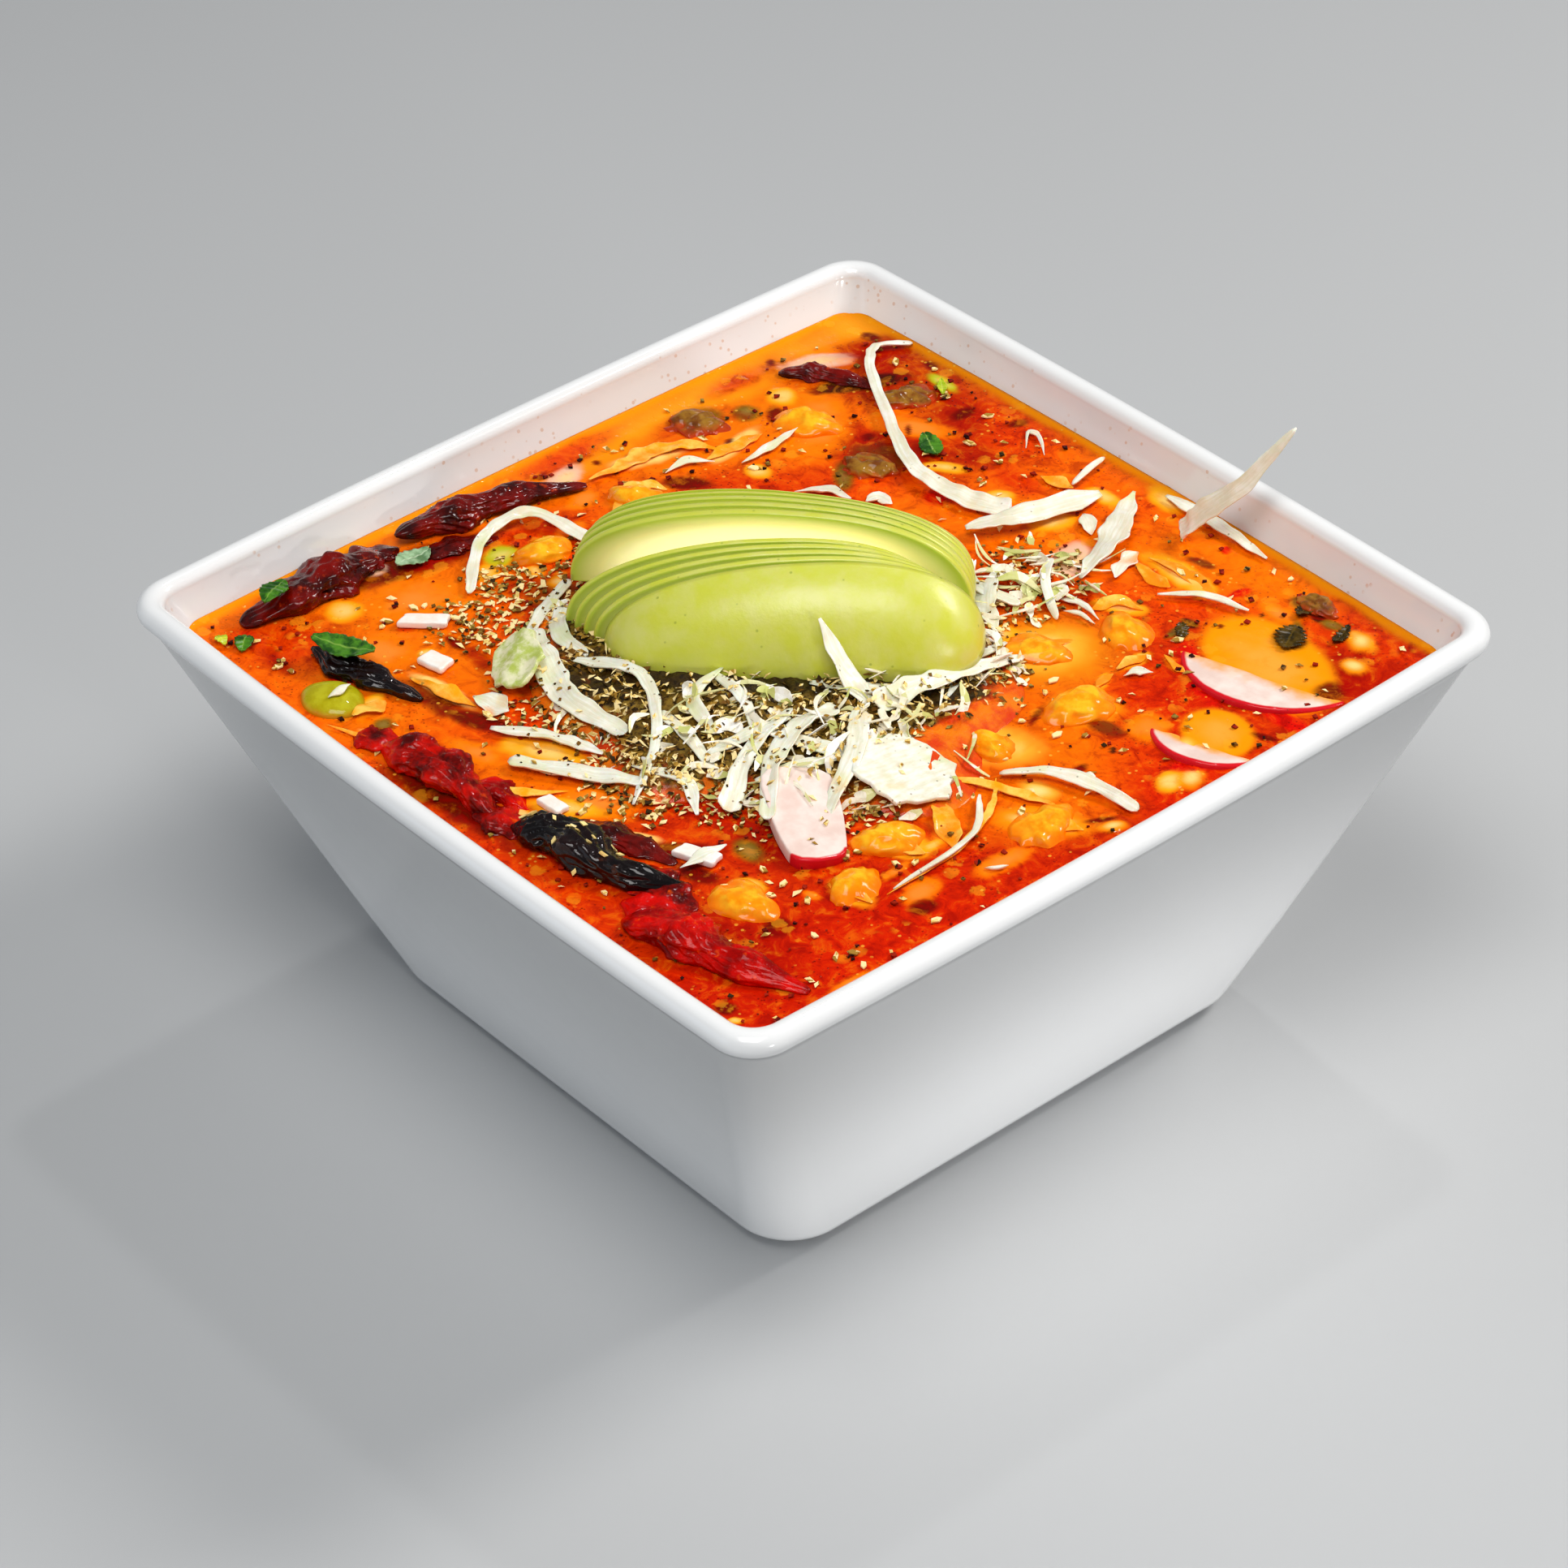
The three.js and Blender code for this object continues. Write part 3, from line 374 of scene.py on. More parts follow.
SUNK = [
    (4, 62, 26.4, 14.4, 0.4, "amber"), (35, 82, 21.9, 9.0, 0.0, "amber"), (34, 34, 14.8, 12.8, 0.8, "gold"),
    (56, 15, 17.6, 16.3, 0.8, "amber"), (66, 34, 16.4, 11.2, 2.4, "fire"), (85, 22, 11.8, 8.9, 1.4, "fire"),
    (68, -5, 18.9, 11.8, 0.8, "amber"), (83, -50, 28.5, 13.5, 1.5, "fire"), (59, -76, 23.5, 8.8, 0.1, "blood"),
    (81, 70, 11.2, 9.7, 2.2, "blood"), (-64, 86, 18.5, 10.8, 3.1, "blood"), (-33, 83, 17.6, 11.4, 3.0, "fire"),
    (-44, 62, 15.7, 11.4, 0.8, "fire"), (-85, 41, 44.1, 6.0, 1.6, "gold"), (-85, 89, 7.2, 6.1, 0.7, "gold"),
    (-69, 80, 8.7, 4.6, 2.8, "blood"), (-44, 80, 11.0, 6.6, 2.8, "blood"), (68, 71, 9.6, 3.3, 2.4, "wine"),
    # The brown patch at (-48, -27) is a painted shadow under the flakes by the avocado's left end.
    (-41, -68, 11.2, 3.8, 0.4, "wine"), (-48, -27, 7.7, 6.0, 2.6, "brown"), (-70, 70, 17.1, 6.7, 0.4, "blood"),
    (-41, 60, 16.4, 7.8, 0.4, "blood"), (-86, 53, 8.5, 3.3, 1.6, "fire"), (-80, 35, 11.7, 4.1, 1.5, "fire"),
    (-88, 8, 12.0, 3.3, 1.6, "fire"), (-55, 25, 22.4, 8.1, 1.0, "fire"), (-72, -22, 19.5, 7.0, 1.3, "fire"),
    (-66, -43, 18.8, 14.0, 1.3, "amber"), (-53, -60, 16.7, 11.4, 0.7, "amber"),
    (-74, -78, 11.8, 9.1, 0.6, "fire"), (-38, -83, 17.1, 7.3, 3.1, "amber"), (-2, -71, 19.5, 9.6, 0.3, "amber"),
    (20, -78, 16.4, 5.8, 0.2, "blood"), (-79, -41, 19.5, 4.6, 1.4, "wine"), (-7, -85, 18.2, 5.0, 0.1, "wine"),
    (47, -48, 9.4, 7.7, 0.7, "blood"), (44, 87, 18.6, 5.7, 3.1, "amber"), (34, 34, 8.7, 7.2, 1.2, "pale"),
    (54, 27, 7.2, 6.0, 0.5, "kernel"), (50, 4, 9.7, 5.9, 0.6, "pale"), (67, 31, 5.4, 4.8, 2.3, "orange"),
    (76, -5, 9.0, 4.3, 0.6, "kernel"), (62, -30, 6.3, 4.4, 0.3, "yellow"), (68, 1, 3.7, 3.0, 0.2, "pale"),
    (83, 22, 3.6, 2.6, 2.1, "yellow"), (85, 26, 3.8, 2.6, 2.2, "kernel"), (86, 4, 2.9, 1.7, 1.2, "kernel"),
    (75, 83, 4.0, 2.8, 2.9, "kernel"), (80, 76, 2.8, 2.4, 3.1, "kernel"), (33, 73, 9.4, 3.6, 3.1, "yellow"),
    (57, 78, 5.2, 2.6, 0.1, "orange"), (33, 56, 5.8, 2.5, 0.5, "yellow"), (11, 90, 5.6, 3.2, 3.0, "yellow"),
    (49, 45, 4.3, 1.7, 1.6, "yellow"), (50, 35, 3.3, 1.1, 2.1, "yellow"), (55, 50, 3.1, 1.5, 2.9, "orange"),
    (14, 60, 6.3, 4.1, 2.2, "rose"), (1, 67, 5.3, 2.9, 1.2, "yellow"), (1, 81, 4.7, 2.4, 0.1, "yellow"),
    (23, 31, 4.9, 3.4, 0.8, "yellow"), (43, 1, 4.8, 3.3, 0.8, "orange"), (63, -19, 8.8, 2.2, 2.3, "orange"),
    (61, 51, 11.5, 3.6, 2.7, "red"), (68, 64, 18.5, 11.3, 2.9, "disc"), (85, 53, 8.7, 2.3, 0.0, "red"),
    (78, 40, 8.6, 7.0, 2.8, "disc"), (83, 30, 6.7, 2.1, 1.0, "red"), (77, 32, 3.2, 2.1, 2.4, "pale"),
    (49, 18, 3.7, 0.9, 2.0, "wine"), (62, 25, 3.8, 2.0, 0.3, "brown"), (68, 21, 1.3, 0.8, 2.4, "black"),
    (68, 12, 2.2, 1.1, 1.7, "wine"), (65, 73, 4.2, 2.9, 3.0, "black"), (64, 76, 4.0, 1.3, 2.4, "olive"),
    (58, 84, 3.5, 2.2, 3.1, "olive"), (67, 83, 3.6, 1.6, 0.2, "olive"), (63, 83, 2.0, 1.5, 2.3, "black"),
    (85, 46, 2.8, 1.0, 0.4, "wine"), (46, 77, 2.6, 1.3, 1.4, "red"), (47, 62, 2.3, 1.5, 3.1, "black"),
    (47, 58, 2.9, 1.1, 1.7, "olive"), (33, 86, 1.5, 1.0, 2.3, "red"), (8, 94, 1.2, 0.9, 2.4, "black"),
    (83, 4, 3.4, 0.8, 1.1, "wine"), (55, 75, 0.9, 0.7, 2.3, "black"), (30, 68, 2.9, 1.3, 2.4, "red"),
    (52, 66, 0.9, 0.7, 2.3, "wine"), (33, 79, 3.4, 1.3, 0.2, "brown"), (83, 66, 3.4, 3.2, 1.9, "wine"),
    (84, 70, 2.2, 1.3, 2.3, "blood"), (53, -61, 3.7, 3.3, 0.7, "yellow"), (59, -65, 2.8, 2.5, 0.7, "yellow"),
    (68, -47, 5.4, 3.2, 0.0, "yellow"), (76, -37, 4.8, 3.0, 1.8, "orange"), (80, -40, 2.9, 2.2, 1.3, "wine"),
    (66, -64, 3.0, 2.6, 2.6, "wine"), (67, -64, 1.5, 1.4, 2.7, "blood"), (68, -36, 3.9, 1.2, 1.7, "orange"),
    (80, -19, 7.2, 2.7, 1.5, "orange"), (78, -87, 2.1, 1.7, 0.8, "wine"), (82, -88, 1.5, 0.9, 0.8, "yellow"),
    (67, -26, 2.6, 1.1, 1.7, "yellow"), (63, -53, 2.1, 1.1, 0.2, "orange"), (89, -64, 6.8, 2.1, 1.5, "orange"),
    (-62, 55, 14.8, 8.0, 2.4, "orange"), (-75, 57, 3.9, 3.2, 2.5, "yellow"),
    (-47, 69, 10.5, 3.7, 0.5, "orange"), (-30, 64, 4.9, 2.2, 0.6, "yellow"), (-80, 37, 6.0, 5.1, 1.1, "olive"),
    (-82, 37, 2.7, 2.5, 1.6, "orange"), (-75, 47, 3.3, 3.1, 3.0, "olive"), (-70, 51, 3.8, 1.8, 2.6, "wine"),
    (-42, 46, 5.3, 2.2, 2.4, "olive"), (-42, 56, 6.9, 6.0, 0.2, "brown"), (-55, 78, 4.9, 3.2, 2.5, "olive"),
    (-43, 81, 3.3, 1.9, 1.6, "wine"), (-32, 87, 2.6, 1.5, 1.3, "wine"), (-67, 73, 10.8, 2.9, 1.1, "black"),
    (-80, 72, 8.2, 2.9, 1.1, "rose"), (-75, 85, 10.8, 4.7, 1.0, "blood"), (-82, 2, 6.1, 3.0, 1.8, "rose"),
    (-65, 9, 6.5, 5.3, 1.5, "kernel"), (-76, 21, 9.2, 3.0, 1.3, "cream"), (-67, 37, 7.5, 2.2, 1.8, "cream"),
    (-56, 34, 3.2, 2.4, 0.4, "yellow"), (-63, 20, 5.2, 2.5, 0.8, "wine"), (-80, 87, 2.5, 1.5, 0.1, "wine"),
    (-62, 89, 2.0, 1.3, 3.0, "wine"), (-50, 60, 1.6, 1.6, 3.0, "wine"), (-46, 68, 2.2, 0.7, 2.4, "wine"),
    (-69, 37, 1.5, 0.9, 2.1, "wine"), (-87, 64, 1.3, 0.9, 2.5, "wine"), (-82, 11, 1.0, 0.9, 2.8, "wine"),
    (-86, -1, 1.6, 0.9, 2.0, "wine"), (-29, 72, 5.6, 4.1, 0.2, "blood"), (-16, 72, 7.2, 3.7, 0.1, "fire"),
    (-22, 56, 4.1, 3.1, 0.8, "red"), (-14, 65, 3.4, 2.2, 0.8, "yellow"), (-73, 0, 4.0, 2.7, 1.8, "orange"),
    (-33, 40, 6.8, 2.5, 0.8, "fire"), (-55, 86, 4.2, 1.8, 3.1, "lime"), (-68, -49, 10.8, 7.0, 1.2, "orange"),
    (-74, -62, 4.3, 3.8, 1.0, "yellow"), (-57, -65, 6.3, 6.3, 2.5, "orange"),
    (-50, -59, 2.6, 2.0, 2.6, "yellow"), (-68, -26, 4.4, 3.6, 1.7, "lime"), (-65, -32, 3.0, 2.7, 2.8, "yellow"),
    (-38, -64, 8.6, 1.8, 0.1, "cream"), (-25, -65, 11.3, 2.5, 0.4, "wine"), (12, -65, 9.7, 5.2, 0.6, "orange"),
    (-17, -72, 7.5, 3.2, 0.2, "orange"), (-37, -80, 2.5, 2.2, 2.2, "olive"),
    (-44, -78, 4.2, 2.2, 2.0, "yellow"), (-76, -38, 6.3, 2.6, 1.3, "blood"), (-82, -48, 2.6, 2.3, 1.6, "rose"),
    (-57, -30, 3.6, 3.3, 2.9, "blood"), (-42, -52, 5.7, 1.8, 3.0, "blood"), (-50, -52, 3.1, 1.3, 3.1, "wine"),
    (-68, -83, 3.5, 2.2, 3.0, "blood"), (-55, -77, 2.4, 2.2, 0.2, "red"), (-82, -82, 2.7, 2.0, 0.7, "fire"),
    (-61, -56, 2.0, 1.7, 0.6, "red"), (-33, -82, 6.0, 1.0, 0.4, "cream"), (-25, -79, 5.7, 1.0, 0.6, "cream"),
    (-8, -62, 10.2, 3.6, 0.5, "yellow"), (10, -70, 8.1, 2.6, 0.6, "yellow"), (5, -78, 3.7, 1.6, 0.2, "kernel"),
    (-52, -23, 2.5, 2.3, 0.0, "kernel"), (-59, -24, 2.4, 2.0, 2.7, "yellow"),
    (-66, -9, 4.2, 2.2, 1.6, "orange"), (25, -68, 6.4, 2.0, 0.7, "cream"), (43, -65, 5.1, 2.3, 0.3, "wine"),
    (34, -63, 7.8, 2.1, 0.9, "wine"), (44, -53, 3.8, 2.5, 3.0, "olive"),
]
print("things under the surface:", len(SUNK))


# %% The sheet of broth
def pool(u, v, half, corner):
    """From a square of side 2 to the broth's outline, with its soft corners and swelling sides."""
    reach = half - corner
    x, y = u * half, v * half
    a, b = (np.maximum(np.abs(c) - reach, 0) / corner for c in (x, y))
    round_x, round_y = a * np.sqrt(1 - b * b / 2), b * np.sqrt(1 - a * a / 2)
    both = (a > 0) & (b > 0)
    x = np.where(both, np.sign(x) * (reach + corner * round_x), x)
    y = np.where(both, np.sign(y) * (reach + corner * round_y), y)
    bow = SIDE_BOW * LEVEL / HEIGHT / half
    return x * (1 + bow * (1 - v * v)), y * (1 + bow * (1 - u * u))


def hum(x, y, size, seed):
    """A smooth repeatable drift between -1 and 1, from sums of waves that don't share a direction."""
    total = 0
    for k in range(6):
        angle = seed * 1.3 + k * 2.4
        step = (np.cos(angle) * x + np.sin(angle) * y) / size * (0.7 + 0.23 * k)
        total = total + np.sin(step + seed * (k + 1) + 1.3 * np.sin(step * 0.6 + k))
    return total / 6


SHEET = 296  # squares along one side of the sheet
POOL_HALF, POOL_CORNER = inner_half(LEVEL + 0.5) - 0.03, 5.9
steps = np.linspace(-1, 1, SHEET + 1)
steps = np.sign(steps) * np.abs(steps) ** 0.97
u, v = (c.ravel() for c in np.meshgrid(steps, steps, indexing="ij"))
pool_x, pool_y = pool(u, v, POOL_HALF, POOL_CORNER)
to_wall = np.minimum(POOL_HALF - np.abs(u) * POOL_HALF, POOL_HALF - np.abs(v) * POOL_HALF)
surface = LEVEL + 0.6 * np.exp(-to_wall / 1.1) + 0.05 * hum(pool_x, pool_y, 3.0, 4)

deep, warm, bright = (np.array(shade(*c)) for c in ((200, 30, 2), (236, 70, 2), (252, 118, 4)))
warmth = np.clip(0.5 - (pool_x * 0.8 - pool_y * 0.35) / 150 + 0.5 * hum(pool_x, pool_y, 13, 1), 0, 1)[:, None]
stew = deep + (warm - deep) * np.clip(warmth * 2, 0, 1) + (bright - warm) * np.clip(warmth * 2 - 1, 0, 1)


def smooth(value, low, high):
    share = np.clip((value - low) / (high - low), 0, 1)
    return share * share * (3 - 2 * share)


for i, (x, y, long, wide, turn, kind) in enumerate(SUNK):
    colour, blur, painted_glow, lift = SUNK_KINDS[kind]
    across = (pool_x - x) * math.cos(turn) + (pool_y - y) * math.sin(turn)
    down = (pool_y - y) * math.cos(turn) - (pool_x - x) * math.sin(turn)
    ragged = min(0.2, 0.8 / wide) if kind != "disc" else 0.02
    away = np.hypot(across / long, down / wide)
    away += ragged * (hum(pool_x, pool_y, 2.5, i) + 0.7 * hum(pool_x, pool_y, 1.0, i + 5))
    share = smooth(away, 1.08 + 0.5 * blur, 0.92 - 0.6 * blur)
    # Painted highlight: the heart of each sunk thing is lightened towards pale cream by its painted_glow.
    heart = smooth(away + 0.25 * hum(pool_x, pool_y, 1.6, i + 9), 0.8, 0.1)[:, None] * painted_glow
    colour = np.array(shade(*colour)) + (np.array(shade(255, 226, 140)) - np.array(shade(*colour))) * heart
    stew = stew + (colour - stew) * (share * (0.8 if blur > 0.7 else 0.95))[:, None]
    surface = surface + lift * share
oily = smooth(to_wall + 1.2 * hum(pool_x, pool_y, 6, 9), 3.2, 0.6)[:, None]
stew = stew + (np.array(shade(248, 150, 8)) - stew) * oily * 0.85
stew[:, 3] = 1  # the colours stay opaque
print("points on the broth:", len(stew))

# %% Close the broth into a solid
side = SHEET + 1
index = np.arange(side * side).reshape(side, side)
squares = np.stack([index[:-1, :-1], index[1:, :-1], index[1:, 1:], index[:-1, 1:]], -1)
faces = [tuple(square) for square in squares.reshape(-1, 4)]
border = [*index[:-1, 0], *index[-1, :-1], *index[:0:-1, -1], *index[0, :0:-1]]
points = list(zip(pool_x, pool_y, surface))
colours = list(stew)
ring = border
for z, clear_of_wall, corner in ((45, 0.5, 7.2), (12, 0.5, 8.2), (7, 6, 8.2)):
    below = len(points)
    ring_x, ring_y = pool(u[border], v[border], inner_half(z) - clear_of_wall, corner)
    points += list(zip(ring_x, ring_y, [z] * len(border)))
    colours += [np.array(shade(196, 36, 4))] * len(border)
    above, ring = ring, range(below, below + len(border))
    faces += [(above[k], above[k - 1], ring[k - 1], ring[k]) for k in range(len(border))]
faces.append(tuple(ring))

broth = Finish("red_broth", IOR=1.33, Specular_IOR_Level=0.1)
stewed = broth.own("stew", "Color")
grit = broth.patches(11, 3, 0.42, 0.6)
green_part = broth.add("ShaderNodeSeparateColor", {}, {"Color": stewed}, out="Green")
murky = broth.fade(green_part, 0.26, 0.07)
dust = broth.fade(broth.cells(1.15), 0.26, 0.12) * grit
fine = broth.patches(0.8, 2, 0.58, 0.68) * broth.patches(15, 2, 0.4, 0.6)
beads = broth.fade(broth.cells(2.3), 0.2, 0.12) * broth.patches(9, 2, 0.5, 0.6)
torn = broth.cells(4.6) + (broth.noise(1.6, 2) - 0.5) * 0.5
scraps = broth.fade(torn, 0.4, 0.3) * broth.patches(13, 2, 0.52, 0.62)
cloud = broth.noise(4.2, 5, 0.65, 0.8)
for share, colour in (
    (broth.fade(cloud, 0.46, 0.68) * murky * 0.7, (150, 7, 2)), (broth.fade(cloud, 0.5, 0.28) * 0.35, (255, 140, 14)),
    (scraps * 0.35, (255, 168, 30)), (fine * murky * 0.25, (120, 8, 2)), (dust * murky * 0.7, (96, 8, 3)),
    (beads * 0.5, (255, 190, 60)),
):
    stewed = broth.mix(share, stewed, colour)
broth.feed(Base_Color=stewed, Roughness=broth.noise(8, 2) * 0.06 + 0.02)
broth.bump(broth.noise(2.2, 3, 0.5) * 0.6 + beads * 0.5 + dust * 0.25 + scraps * 0.3, 0.3, 0.5)
dress("red_broth", points, faces, broth, "red_broth", ["broth"], stew=np.array(colours))

# %% [markdown]
# ## The avocado fan
# Half a peeled fruit lies on its cut side. It was sliced lengthwise and pushed over, so that thin slices
# peep out behind a thick cheek, and the back half swings open to show one pale cut face. A fruit is a
# rule rather than a model: an egg-like outline whose length and height shrink towards its side. The mark
# `skin` is 1 on the outside and falls to 0 inside, for the green that fades to cream on a real cut face.

# %% Sizes of the fan
FAN_START, FAN_TURN, PIVOT_X, FRUIT_MIDDLE = np.array([-15.3, -40.8, 93]), math.pi / 4, 78, 37
FRUIT_HALF, FRUIT_HEIGHT, FRONT_LONG, BACK_LONG = 21, 20.5, 39, 42
GAP, SLICE, BACK_SLICE, SLICES, CHEEK_BACK, SETTLE = 0.35, 1.35, 2.2, 5, 6.5, -2.6


def slice_outline(across, half_length, arc_steps=56):
    offset = min(abs(across / FRUIT_HALF), 0.999)
    taper = half_length * (1 - offset ** 2.8) ** (1 / 2.8)
    fuller = half_length * (1 - offset ** 5) ** (1 / 5)
    height = FRUIT_HEIGHT * (1 - offset ** 2.1) ** (1 / 2.1)
    outline = []
    for j in range(arc_steps + 1):
        angle = math.pi * j / arc_steps
        lengthwise = math.cos(angle)
        x = fuller * lengthwise ** 0.82 if lengthwise > 0 else taper * lengthwise
        outline.append((x, -across, height * (1 + 0.1 * lengthwise) * abs(math.sin(angle)) ** 0.8))
    return np.array(outline)


def slice_skin(front, back, skin_steps, half_length):
    """Rings from the middle of the front face, over the skin, to the middle of the back face."""
    rings, skin = [], []
    stops = [i / skin_steps for i in range(skin_steps + 1)]
    if front > FRUIT_HALF - 1:
        stops = [1 - math.cos(s * math.pi / 2) for s in stops]
    elif skin_steps > 6:
        stops = [math.sin(s * math.pi / 2) for s in stops]
    heart = np.array([0, 0, FRUIT_HEIGHT * 0.3])

    def face(across, shares):
        outline = slice_outline(across, half_length)
        middle = heart * [1, 0, 1] + [0, -across, 0]
        for share in shares:
            rings.append(middle + (outline - middle) * share)
            skin.append(max(0.0, (share - 0.55) / 0.45) ** 2.2)

    if front < FRUIT_HALF - 1:
        face(front, (0.3, 0.6, 0.75, 0.85, 0.93, 0.975))
    for stop in stops:
        edge = stop in (0, 1) and abs(mix_up(front, back, stop)) < FRUIT_HALF - 1
        face(mix_up(front, back, stop), (0.992 if edge else 1,))
    if back > 1 - FRUIT_HALF:
        face(back, (0.975, 0.93, 0.85, 0.75, 0.6, 0.3))
    return rings, skin


print("the fruit is", 2 * FRONT_LONG, "mm long and", FRUIT_HEIGHT, "mm high")


# %% Turn a slice into its place in the fan
def into_fan(points, swing, slide, sink):
    points = np.asarray(points, dtype=float) + [FRUIT_MIDDLE - PIVOT_X + slide, 0, 0]
    turn, dip = Matrix.Rotation(math.radians(swing), 3, "Z"), Matrix.Rotation(math.radians(sink), 3, "Y")
    points = points @ np.array(dip @ turn).T + [PIVOT_X, FRUIT_HALF, 0]
    return points @ np.array(Matrix.Rotation(FAN_TURN, 3, "Z")).T + FAN_START


flesh = Finish(
    "avocado_flesh", IOR=1.42, Emission_Strength=0.36, Subsurface_Weight=0.15, Subsurface_Scale=0.003,
    Coat_Weight=0.3, Coat_Roughness=0.32)
flesh.surface.inputs["Subsurface Radius"].default_value = (0.6, 1.0, 0.2)
rim_share = flesh.own("skin")
outside = flesh.mix(flesh.patches(5, 4, 0.3, 0.75, 0.6), (206, 209, 64), (212, 212, 108))
outside = flesh.mix(flesh.patches(26, 2, 0.42, 0.7) * 0.5, outside, (202, 210, 64))
outside = flesh.mix(flesh.fade(flesh.cells(4.2), 0.1, 0.04) * 0.5, outside, (120, 140, 30))
cut = flesh.mix(flesh.fade(rim_share, 0.0, 0.45), (255, 252, 214), (248, 244, 164))
cut = flesh.mix(flesh.fade(rim_share, 0.35, 0.95), cut, (184, 202, 62))
on_skin = flesh.fade(rim_share, 0.93, 0.99)
# Painted light: the cut face glows faintly (emission strength 0.36), most in its middle and not at all on the skin, to
# lighten it in the shaded gap between the two halves.
painted_glow = flesh.mix(flesh.fade(rim_share, 0.5, 0.02), (0, 0, 0), (255, 240, 170))
flesh.feed(Base_Color=flesh.mix(on_skin, cut, outside), Emission_Color=painted_glow)
flesh.feed(Roughness=flesh.noise(6, 2) * 0.25 + 0.2)
flesh.bump(flesh.noise(3.5, 3) * 0.5 + flesh.noise(0.8, 2) * 0.3, 0.3, 0.35)


def add_slice(name, shape, swing, slide, sink):
    rings, skin = slice_skin(*shape)
    points, faces = loft(rings)
    marks = [s for s in skin for _ in rings[0]] + [skin[0], skin[-1]]
    placed = into_fan(points, swing, slide, sink)
    dress("sliced_" + name, placed, faces, flesh, "avocado_flesh", [name], skin=marks)


add_slice("avocado_front_1", (FRUIT_HALF, CHEEK_BACK, 22, FRONT_LONG), 1.5, 0, SETTLE)
for i in range(1, SLICES):
    front = CHEEK_BACK - GAP - (i - 1) * (SLICE + GAP)
    add_slice(f"avocado_front_{i + 1}", (front, front - SLICE, 3, FRONT_LONG), 1.5 - 0.4 * i, -2 * i, SETTLE)
back_start = CHEEK_BACK - GAP - (SLICES - 1) * (SLICE + GAP) - 0.6
for i in range(SLICES):
    front = back_start - i * (BACK_SLICE + GAP)
    last = i == SLICES - 1
    shape = (front, 0.5 - FRUIT_HALF if last else front - BACK_SLICE, 18 if last else 4, BACK_LONG)
    add_slice(f"avocado_back_{i + 1}", shape, -6.5 - 0.8 * i, -6 - 0.4 * i, -0.3)
print("slices in the fan:", 2 * SLICES)

# %% [markdown]
# ## Dried chillies
# A dried chilli that soaks in hot broth keeps its creases but turns glossy. It is a flattened tube along
# a route from its stem to its tip; three long folds give the outline, and finer folds run along it like
# cloth that was wrung. The folds are real shape, because the light that runs along them is what says
# wet and leathery.

# %% Routes of the chillies
CHILLIES = [  # node, kind, route, radius, flatness, seed
    ("chilli_left_long", "dark",
     [(-85.5, -40, 90.5), (-85, -26, 89.5), (-82, -12, 89.5), (-75.5, 3, 88.5)], 4.0, 0.6, 1),
    ("chilli_left_wide", "dark", [(-84, -46, 89), (-84, -58, 89.5), (-83, -70, 89.5), (-84, -81, 88)], 5.7, 0.56, 2),
    ("chilli_black_small", "black", [(-66, -76, 89.3), (-52, -73.5, 88.6), (-38, -69.5, 88)], 3.2, 0.8, 3),
    ("chilli_red_folded", "mixed", [(-31, -85, 88), (-20, -82.5, 89), (-8, -82, 89), (3, -83, 88)], 4.6, 0.8, 4),
    ("chilli_black_long", "black", [(8, -82.5, 88.5), (19, -79, 90), (33, -77.5, 90), (46, -70, 88.5)], 4.6, 0.78, 5),
    ("chilli_bright_red", "bright", [(45, -85, 88), (56, -81, 89.5), (69, -78, 89.3), (85, -72.5, 87.6)], 5.0, 0.64, 6),
    ("chilli_back_strip", "dark", [(-82, 62, 88), (-75, 69, 88.3), (-62, 74, 87.9)], 2.6, 0.6, 7),
]
SKINS = [  # kind, route, radius, flatness: torn skins that float between the chillies
    ("dark", [(-85, -53, 87.6), (-85.5, -47, 87.9), (-85, -40, 87.7)], 4.6, 0.3),
    ("dark", [(-79, -38, 87.5), (-77, -30, 87.8), (-74, -22, 87.5)], 3.2, 0.3),
    ("mixed", [(-2, -84, 87.5), (6, -82, 87.9), (12, -79, 87.5)], 4.2, 0.35),
    ("dark", [(14, -72, 87.5), (26, -68.5, 88), (38, -66, 87.6)], 3.4, 0.35),
    ("mixed", [(34, -71, 87.6), (44, -73, 88.1), (52, -73, 87.6)], 4.4, 0.35),
    ("bright", [(40, -81, 87.6), (47, -78, 88), (54, -75, 87.5)], 3.6, 0.4),
    ("mixed", [(-38, -86.5, 87.6), (-32, -84, 88), (-26, -80, 87.6)], 3.4, 0.4),
    ("bright", [(-9, -77.5, 87.5), (-2, -77, 88), (5, -76.5, 87.5)], 3, 0.45),
]
SKIN_SEED, CHILLI_SIDES = 11, 56


# %% Their finishes
def chilli_finish(name, low, high, painted_glow, wet=0.6):
    finish = Finish(name, IOR=1.5, Specular_IOR_Level=0.06, Coat_Weight=wet, Coat_Roughness=0.02)
    tone = finish.mix(finish.patches(7, 4, 0.35, 0.65, 0.6), low, high)
    # Painted light: small orange patches stand for light coming through the thin skin.
    tone = finish.mix(finish.patches(3, 3, 0.62, 0.75) * 0.7, tone, painted_glow)
    finish.feed(Base_Color=tone, Roughness=finish.noise(4, 2) * 0.2 + 0.12)
    finish.bump(finish.noise(2.4, 3, 0.55, 1.2) * 0.8 + finish.noise(0.9, 2) * 0.2, 0.6, 0.6)
    return finish


CHILLI_FINISH = {  # mostly, in patches, painted glow where light comes through, how wet
    "dark": chilli_finish("dark_chilli", (46, 4, 2), (122, 10, 3), (206, 62, 8), 0.45),
    "mixed": chilli_finish("mixed_chilli", (76, 4, 2), (204, 14, 2), (246, 84, 6), 0.25),
    "black": chilli_finish("black_chilli", (10, 5, 6), (26, 8, 8), (80, 36, 10)),
    "bright": chilli_finish("bright_chilli", (126, 1, 0), (214, 8, 0), (252, 92, 4), 0.2),
}


